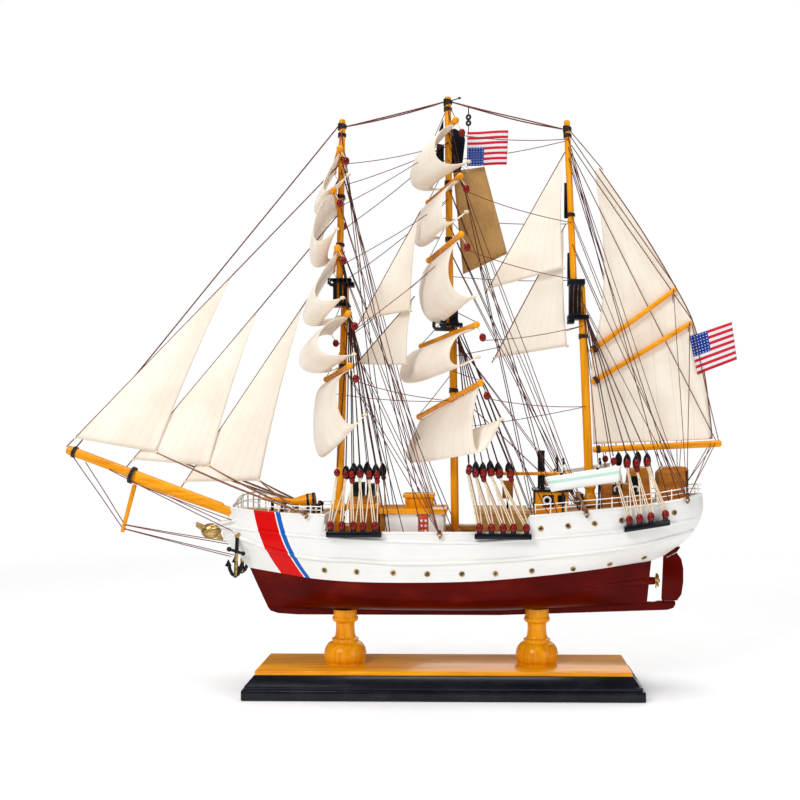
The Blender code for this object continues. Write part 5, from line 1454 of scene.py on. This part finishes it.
# Shroud gangs: on each side of each mast a black board with glossy red beads. Cream lanyards lead
# up to black teardrops behind red beads, and dark shrouds lead from them to the mast's hounds.
CHANNEL_THICK = 3.9
BEAD_HALF = 3.5
RED_IN_FRONT = 2.3
GANGS = {
    # The board's two ends and its height there, the places of its lower and of its upper beads, the
    # height of the upper ones, and the point on the mast where the shrouds meet.
    "fore": ((-83.7, -43.8), (120.1, 120.1), (-80.6, -72.1, -64.0, -56.9, -48.4),
             (-76.5, -70.3, -65.9, -60.0, -53.3, -47.9), 161.6, (-70.2, 3.4, 283.0)),
    "main": ((22.6, 63.2), (119.1, 118.7), (26.1, 34.6, 43.0, 50.3, 59.6),
             (18.4, 23.4, 28.8, 34.4, 40.5, 48.6), 162.8, (10.4, 3.6, 268.0)),
    "mizzen": ((129.3, 162.6), (123.9, 128.5), (132.8, 140.3, 148.6, 159.4),
               (122.5, 132.4, 139.0, 146.9), 169.8, (106.8, 3.4, 277.0)),
}
DEADEYE = rounded([(0.0, -5.0), (1.9, -4.2), (2.8, -0.6), (2.4, 2.4), (1.2, 4.6), (0.4, 5.6), (0.0, 5.8)], 3)

for mast, (board_x, top_z, lower, upper, upper_z, hounds) in GANGS.items():
    rise = (top_z[1] - top_z[0]) / (board_x[1] - board_x[0])
    for label, side in (("port", -1), ("starboard", 1)):
        channel = bmesh.new()
        red_beads = bmesh.new()
        black_beads = bmesh.new()
        lanyards = bmesh.new()
        shrouds = bmesh.new()

        def board_top(x):
            return top_z[0] + rise * (x - board_x[0])

        def bead_y(x):
            return max(half_at(x, board_top(x)) + 3.3, SHEER_HALF(x) + 4.2)

        places = [board_x[0] + (board_x[1] - board_x[0]) * i / 8 for i in range(9)]
        outline = [(x, side * (half_at(x, board_top(x)) - 0.2)) for x in places]
        outline += [(x, side * (bead_y(x) + 2.4)) for x in reversed(places)]
        board = bmesh.new()
        sawn(board, outline, 0.0, CHANNEL_THICK, "XY", 0.35)
        for vert in board.verts:
            vert.co.z += board_top(vert.co.x) - CHANNEL_THICK
        add(channel, board)
        lows = [Vector((x, side * bead_y(x), board_top(x) + BEAD_HALF)) for x in lower]
        highs = []
        for i, x in enumerate(upper):
            end = Vector((hounds[0] + 0.35 * (i - 2.5), side * hounds[1], hounds[2] - 1.6 * i))
            z = upper_z + 0.9 * math.sin(2.3 * i + 0.8)
            share = (z - lows[0].z) / (end.z - lows[0].z)
            high = Vector((x, lows[0].y + (end.y - lows[0].y) * share, z))
            highs.append(high)
            red = high + Vector((0.0, side * RED_IN_FRONT, -0.2 - 0.8 * (i % 2)))
            ball(red_beads, red, 2.3, (1.0, 0.9, 1.25), 18, 12)
            if i:
                turned(black_beads, DEADEYE, Matrix.Translation(high), 16)
            if i % 3 == 2:
                ball(red_beads, red + Vector((0.4, 0.0, -4.6)), 2.0, (1.0, 0.9, 1.1), 14, 9)
            middle = high.lerp(end, 0.5) + Vector((0.3, 0.0, 0.2))
            tubes(shrouds, [[high + Vector((0.0, 0.0, 3.4)), middle, end]], 0.42)
        for i, low in enumerate(lows):
            ball(red_beads, low + Vector((0.0, 0.0, 0.6)), 2.9, (0.92, 0.92, 1.2), 20, 14)
            # A short black foot under each lower bead: partly its real seat on the board, partly painted
            # shade for the bead's shadow there.
            foot = low - Vector((0.0, 0.0, BEAD_HALF))
            bar(black_beads, foot, foot + Vector((0.0, 0.0, 1.7)), 2.2, 1.8, 14)
            near, far = highs[i], highs[min(i + 1, len(highs) - 1)]
            for lean, high in ((-1.7, near), (0.2, near), (1.7, far)):
                start = low + Vector((lean * 0.9, -side * 0.9, 1.8))
                tubes(lanyards, [[start, high + Vector((lean * 0.5, side * 1.2, -3.4))]], 0.45, 2)
        title = f"{mast}_{label}"
        piece(f"{title}_channel", channel, black_lacquer, [f"{mast}_shrouds_{label}"])
        piece(f"{title}_red_beads", red_beads, bead_red)
        piece(f"{title}_black_beads", black_beads, black_lacquer)
        piece(f"{title}_lanyards", lanyards, cream_cord)
        piece(f"{title}_shroud_ropes", shrouds, dark_cord)

# Standing rigging: brown twisted stays from masthead to masthead and down to the jib-boom, seized
# with black rope bands, and the thin martingale stays under the bowsprit.
FORE_CROWN, MAIN_CROWN, MIZZEN_CROWN = 418.7, 436.5, 416.0


def line(start, end, sag, count=8, sway=0.25):
    """A taut line with the slight waver of hand-tied cord."""
    start, end = Vector(start), Vector(end)
    points = []
    for k in range(count + 1):
        t = k / count
        at = start.lerp(end, t)
        wave = math.sin(math.pi * t)
        at.z -= sag * 4 * t * (1 - t)
        at.x += sway * wave * math.sin(start.x * 0.7 + end.z * 0.3 + 5.0 * t)
        at.y += sway * wave * math.sin(start.z * 0.5 + end.x * 0.9 + 4.0 * t)
        points.append(at)
    return points


def band_side(pole, z, way):
    """A point forward (-1) or aft (1) on a mast's band."""
    return pole.at(z) + Vector((way * (pole.radius_at(z) + 0.7), 0.0, 0.0))


boom_tip = JIB_BOOM[0].lerp(JIB_BOOM[1], 0.953)
boom_way = (JIB_BOOM[1] - JIB_BOOM[0]).normalized()
boom_up = Vector((boom_way.z, 0.0, -boom_way.x)) * 4.0
stays = bmesh.new()
bands = bmesh.new()
for pole, z in ((FORE_TOP, FORE_CROWN), (MAIN_TOP, MAIN_CROWN), (MIZZEN_TOP, MIZZEN_CROWN)):
    for shift in (-1.7, -0.8, 0.2, 1.2):
        ring(bands, pole.at(z + shift), pole.radius_at(z) + 0.45, 0.6, (0.16 * shift, 0.1, 1.0))
crown = MAIN_TOP.at(MAIN_CROWN)
tubes(bands, [line(crown, (11.0, 0.0, 439.4), 0.0, 4, 0.2)], 0.4)
ball(bands, (11.3, 0.0, 439.5), 0.95, (1.3, 1.0, 0.9), 10, 7)
for shift in (-1.2, -0.2, 0.8):
    ring(bands, boom_tip + boom_way * shift, 3.9, 0.5, boom_way)
    ring(bands, BOWSPRIT[1] - boom_way * (3.0 + shift) + boom_up * 0.55, 6.0, 0.55, boom_way)
tubes(stays, [
    line(boom_tip + boom_up, band_side(FORE_TOP, FORE_CROWN, -1), 0.5, 12, 0.5),
    line(band_side(FORE_TOP, FORE_CROWN, 1), band_side(MAIN_TOP, MAIN_CROWN, -1), 0.2, 11, 0.7),
    line(band_side(FORE_TOP, FORE_CROWN, 1), band_side(MAIN_TOP, MAIN_CROWN, -1), 1.5, 9, -0.8),
    line(band_side(MAIN_TOP, MAIN_CROWN, 1), band_side(MIZZEN_TOP, MIZZEN_CROWN, -1), 0.2, 11, 0.7),
    line(band_side(MAIN_TOP, MAIN_CROWN, 1), band_side(MIZZEN_TOP, MIZZEN_CROWN, -1), 1.6, 10, -0.9),
], 0.5, 2)
for name, (head, tack, clew, bulge) in STAYSAILS.items():
    head, tack = Vector(head), Vector(tack)
    way = (head - tack).normalized()
    to_the_boom, to_the_mast = (9.0, (-78.0 - head.x) / way.x) if name.endswith("jib") else (4.0, 3.0)
    tubes(stays, [line(tack - way * to_the_boom, head + way * to_the_mast, 0.0, 6, 0.0)], 0.45)
piece("stay_ropes", stays, brown_cord, ["masthead_stays"])
piece("rope_bands", bands, black_cord)

PAIRED_STAYS = (
    ((-240.7, 0.8, 119.0), (-158.0, 5.4, 98.6), 0.3), ((-239.6, 1.2, 121.8), (-160.0, 7.0, 108.0), 0.3),
    ((-250.0, 2.6, 163.0), (-156.0, 10.5, 118.0), 0.5), ((-236.0, 3.0, 155.0), (-157.0, 9.5, 126.0), 0.5),
)
martingale = bmesh.new()
paths = [line((-277.7, 0.0, 172.0), (-240.7, 0.0, 119.0), 0.0),
         line((-268.8, 0.0, 168.6), (-239.6, 1.2, 121.8), 0.0)]
for (x, y, z), (end_x, end_y, end_z), sag in PAIRED_STAYS:
    for side in (-1, 1):
        paths.append(line((x, side * y, z), (end_x, side * end_y, end_z), sag))
tubes(martingale, paths, 0.36)
piece("martingale_stays", martingale, brown_cord)

# Running rigging: dark backstays from each mast to the rails, fans of thin brown lines that are
# knotted to the brass hooks, the jibs' sheets, a tackle below each boat, the yards' lifts and
# braces, and the lines that hold up the gaffs and the boom.


def hook(index, side):
    """Where lines are knotted on one of the rail's brass hooks."""
    x, z = HOOKS[index]
    return on_side(x, z + 2.0, 2.7, side)


def rail_height(x):
    """Height of the rail in the open waist, and of the sheer before and abaft it."""
    return WAIST_RAIL_Z if WAIST_FORE < x < WAIST_AFT else SHEER_Z(x)


BACKSTAYS = (
    # A mast, the heights at which its backstays leave it, and where the first and the last end.
    (FORE_TOP, (412.0, 396.0, 330.0), (-38.0, 8.0)),
    (FORE_LOWER, (300.0, 290.0), (-40.0, -28.0)),
    (MAIN_TOP, (430.0, 414.0, 345.0), (66.0, 98.0)),
    (MAIN_LOWER, (284.0, 274.0), (64.5, 76.0)),
    (MIZZEN_TOP, (410.0, 394.0, 330.0), (163.0, 180.0)),
    (MIZZEN_LOWER, (296.0, 284.0), (114.0, 127.0)),
)
FANS = (
    # The number of a hook in the rail, a mast, and the heights at which the hook's lines leave it.
    (1, FORE_TOP, (386.0, 358.0, 318.0)), (1, FORE_LOWER, (270.0, 240.0)),
    (2, MAIN_TOP, (406.0, 372.0, 326.0)), (2, MAIN_LOWER, (262.0, 222.0)),
    (3, MIZZEN_TOP, (402.0, 352.0)), (3, MIZZEN_LOWER, (288.0,)),
)
BRACES = {
    # The yard that a brace starts from, and where it is led to on the next mast aft.
    "fore_royal": MAIN_TOP.at(405.0), "fore_topgallant": MAIN_TOP.at(406.0),
    "fore_upper_topsail": MAIN_TOP.at(364.0), "fore_lower_topsail": MAIN_TOP.at(324.0),
    "fore_course": MAIN_LOWER.at(214.0), "main_royal": MIZZEN_TOP.at(408.0),
    "main_topgallant": MIZZEN_TOP.at(346.0), "main_upper_topsail": MIZZEN_TOP.at(304.0),
    "main_lower_topsail": MIZZEN_LOWER.at(270.0), "main_course": MIZZEN_LOWER.at(210.0),
}
backstays = bmesh.new()
running = bmesh.new()
sheets = bmesh.new()
for side in (-1, 1):
    near = Vector((0.0, side * 2.6, 0.0))
    for pole, heights, rail_x in BACKSTAYS:
        for k, z in enumerate(heights):
            x = rail_x[0] + (rail_x[1] - rail_x[0]) * k / (len(heights) - 1)
            end = on_side(x, rail_height(x) - 1.2, 0.2, side)
            tubes(backstays, [line(pole.at(z) + near, end, 0.3, 10, 0.5)], 0.34)
    for index, pole, heights in FANS:
        for z in heights:
            tubes(running, [line(pole.at(z) + near, hook(index, side), 0.4, 10, 0.6)], 0.3)
    for name, (_, _, clew, _) in STAYSAILS.items():
        if name.endswith("jib"):
            start = Vector(clew) + Vector((0.0, side * 0.5, 0.0))
            for shift in (0.0, 1.0, 2.0):
                end = hook(0, side) + Vector((shift * 0.5, 0.0, 0.0))
                tubes(sheets, [line(start, end, 0.9 + shift * 0.6, 10, 0.5)], 0.36)
    for index in range(4):
        ball(running, hook(index, side) + Vector((0.0, side * 0.2, 1.6)), 1.35, (1.0, 0.9, 1.3), 12, 8)
    for shift in (-0.8, 0.0, 0.8):
        start = Vector((96.0 + shift, side * 36.0, 148.6))
        tubes(sheets, [line(start, hook(2, side) + Vector((shift * 0.5, 0.0, 0.8)), 0.0, 6, 0.2)], 0.5)
    port_or_starboard = 0 if side < 0 else 1
    for name, target in BRACES.items():
        pole, z = SQUARE[name][:2]
        end = YARD_ENDS[name][port_or_starboard]
        below = end + BEAD_HANG + Vector((0.6, 0.0, -2.0))
        above = pole.at(min(z + 22.0, pole.head.z - 4.0)) + near * 0.9
        tubes(running, [line(below, target + near, 2.2, 12, 0.5),
                        line(end + Vector((0.0, 0.0, 1.8)), above, 0.2, 6, 0.2)], 0.3)
piece("backstays", backstays, dark_cord)
piece("running_lines", running, brown_cord)
piece("jib_sheets_and_boat_tackles", sheets, tan_cord)

after_lines = bmesh.new()
peak = Vector((118.0, SPANKER_Y, 386.0))
abaft = Vector((2.6, 0.0, 0.0))
over = Vector((0.0, 0.0, 1.8))
upper_gaff_end, lower_gaff_end = (Vector(end) for _, end in GAFFS)
leech = [Vector(spanker_point(1.0, t / 24)) + Vector((0.3, 0.0, 0.0)) for t in range(25)]
tubes(after_lines, [
    line(MIZZEN_TOP.at(414.0) + abaft, peak, 0.0, 5, 0.1),
    line(MIZZEN_TOP.at(410.0) + abaft, upper_gaff_end + over, 0.8),
    line(MIZZEN_TOP.at(404.0) + abaft, lower_gaff_end + over, 0.8),
    line(MIZZEN_TOP.at(398.0) + abaft, BOOM[1] + Vector((-4.0, 0.0, 2.4)), 0.8),
    line(lower_gaff_end + Vector((0.0, 0.0, -1.6)), BOOM[1] + Vector((-2.0, 0.0, 2.4)), 0.6),
], 0.36)
for side in (-1, 1):
    beside = Vector((-2.0, side * 1.9, 0.0))
    tubes(after_lines, [
        line(BOOM[1] + Vector((-5.0, side * 2.4, 0.0)), hook(3, side), 0.3),
        line(BOOM[1] + Vector((-8.0, side * 2.4, 0.0)), hook(3, side) + Vector((0.4, 0.0, 0.3)), 0.6),
        line(upper_gaff_end + beside, hook(3, side), 0.8),
        line(lower_gaff_end + beside, hook(3, side), 0.8),
    ], 0.3)
tubes(after_lines, [leech], 0.5)
piece("spanker_lines", after_lines, brown_cord)

# Lashings: black thread wound round the masts where lines are made fast and round the feet of the
# gaffs and the boom, with thin black lacquered plates on the upper masts.
wound = bmesh.new()
for pole, heights in ((FORE_TOP, (412.0, 366.0, 330.0)), (FORE_LOWER, (240.0,)),
                      (MAIN_TOP, (431.0, 376.0, 334.0)), (MAIN_LOWER, (222.0,)),
                      (MIZZEN_TOP, (411.0, 352.0)), (MIZZEN_LOWER, (262.0,))):
    for z in heights:
        for shift in (-1.0, 0.0, 1.0):
            ring(wound, pole.at(z + shift), pole.radius_at(z) + 0.35, 0.48, (0.1 * shift, 0.06, 1.0))
for foot, head in (*GAFFS, BOOM):
    way = (Vector(head) - Vector(foot)).normalized()
    for shift in (3.0, 4.0, 5.0):
        ring(wound, Vector(foot) + way * shift, 2.6, 0.45, way)
piece("mast_lashings", wound, black_cord)
plates = bmesh.new()
sawn(plates, [(5.2, 384.0), (12.0, 384.4), (13.8, 392.0), (15.6, 408.0), (14.6, 412.6), (8.0, 416.6),
              (5.2, 416.0)], -1.6, 0.6)
sawn(plates, [(-0.2, 384.4), (-0.2, 404.6), (-5.4, 405.4), (-6.5, 394.0), (-4.0, 385.4)], -1.6, 0.6)
sawn(plates, [(-0.6, 424.0), (-0.6, 414.4), (-4.2, 412.4), (-3.8, 416.0)], -1.0, 0.4)
block(plates, (88.9, -1.6, 349.6), (91.6, 0.4, 376.0), 0.4)
piece("masthead_plates", plates, black_lacquer)

# Flags: two printed cotton flags, thirteen stripes with a dotted blue corner, one hung by black
# links from the stay abaft the main masthead and one flown from the lower gaff's end.


def printed(name, turned_over):
    """Printed cotton: red and white stripes, a blue corner with white dots and a fine weave."""
    paint = Paint(name, Specular_IOR_Level=0.2)
    u, v, _ = paint.axes("UV")
    if turned_over:
        v = 1.0 - v
    weave = paint.noise(paint.spot(), 1900.0, 2.0)
    stripe = (v * 6.5).fraction() < 0.5
    corner = (u < 0.42) * (v > 6.0 / 13.0)
    row = (v * 13.0).fraction().distance(0.5)
    column = (u * 14.5).fraction().distance(0.5)
    dot = (row * row + column * column) < 0.026
    white = paint.ramp(weave, (0.3, (0.70, 0.68, 0.70)), (0.7, (0.86, 0.84, 0.86)))
    barred = paint.mix(stripe, white, (0.58, 0.012, 0.035))
    field = paint.mix(dot, (0.003, 0.040, 0.27), white)
    paint.feed("Base Color", paint.mix(corner, barred, field))
    paint.feed("Roughness", 0.65 + weave * 0.2)
    paint.bump(weave, 0.3, 0.0002)
    return paint


def flag_mesh(corners, y, sway):
    """A small flag as a waved cloth."""
    lower_hoist, lower_fly, upper_fly, upper_hoist = (Vector(corner) for corner in corners)

    def point(s, t):
        at = lower_hoist.lerp(lower_fly, s).lerp(upper_hoist.lerp(upper_fly, s), t)
        return at.x, y + sway * math.sin(2.0 * math.pi * s), at.y

    return sail_mesh(point, 24, 14)


stern_paint = printed("printed_flag_stern", False)
head_paint = printed("printed_flag_masthead", True)
HANGER_X = 18.0
stay_start, stay_end = band_side(MAIN_TOP, MAIN_CROWN, 1), band_side(MIZZEN_TOP, MIZZEN_CROWN, -1)
hanger = stay_start.lerp(stay_end, (HANGER_X - stay_start.x) / (stay_end.x - stay_start.x))
STERN_CORNERS = ((187.8, 233.7), (216.9, 244.9), (213.1, 272.7), (181.9, 261.9))
HEAD_CORNERS = ((16.8, 388.9), (46.4, 389.8), (47.6, 415.3), (17.2, 414.2))
hang_cloth("stern_flag_cloth", flag_mesh(STERN_CORNERS, 0.9, 0.5), stern_paint,
           "stern_flag", 0.4)
hang_cloth("masthead_flag_cloth", flag_mesh(HEAD_CORNERS, hanger.y, 0.8), head_paint,
           "masthead_flag", 0.4)
links = bmesh.new()
tubes(links, [line((HANGER_X, hanger.y, 426.0), (HANGER_X, hanger.y, hanger.z), 0.0, 3, 0.0)], 0.4)
tubes(links, [line((HANGER_X, hanger.y, 414.0), (HANGER_X, hanger.y, 419.0), 0.0, 3, 0.0)], 0.3)
for z in (425.2, 420.8):
    ring(links, (HANGER_X, hanger.y, z), 1.5, 0.85, (0.5, 1.0, 0.0))
piece("flag_links", links, black_cord)

# Hang tag: a blank card of kraft paper, slightly curled, which hangs abaft the main topmast on two
# strands of thin cream string.
kraft = Paint("kraft_paper")
fibres = kraft.noise(kraft.spot((1.0, 1.0, 0.35)), 900.0, 5.0)
kraft_stain = kraft.noise(kraft.spot(), 55.0, 4.0)
kraft_stops = ((0.32, (0.40, 0.21, 0.06)), (0.7, (0.58, 0.34, 0.12)))
kraft.feed("Base Color", kraft.ramp(fibres * 0.5 + kraft_stain * 0.5, *kraft_stops))
kraft.feed("Roughness", 0.75 + fibres * 0.2)
kraft.bump(fibres, 0.3, 0.0002)
TAG = ((13.9, 309.1), (47.0, 324.5), (29.9, 389.6), (6.4, 386.6))
TAG_Y = 6.0


def tag_point(s, t):
    """A point of the card, which is slightly curled."""
    lower, upper = Vector(TAG[0]).lerp(Vector(TAG[1]), s), Vector(TAG[3]).lerp(Vector(TAG[2]), s)
    at = lower.lerp(upper, t)
    return at.x, TAG_Y + 0.8 * math.sin(math.pi * s), at.y


hang_cloth("hang_tag_card", sail_mesh(tag_point, 12, 18), kraft, None,
           0.35)
string = bmesh.new()
for x, z, mast_x in ((17.0, 386.0, 4.0), (21.0, 386.4, 4.4)):
    tubes(string, [line((x, 6.1, z), (mast_x, 3.0, 398.0), 0.3)], 0.25)
piece("tag_string", string, cream_cord)

# Sizes: the box round the finished model, without the paper floor and the hidden imported parts.
low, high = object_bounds()
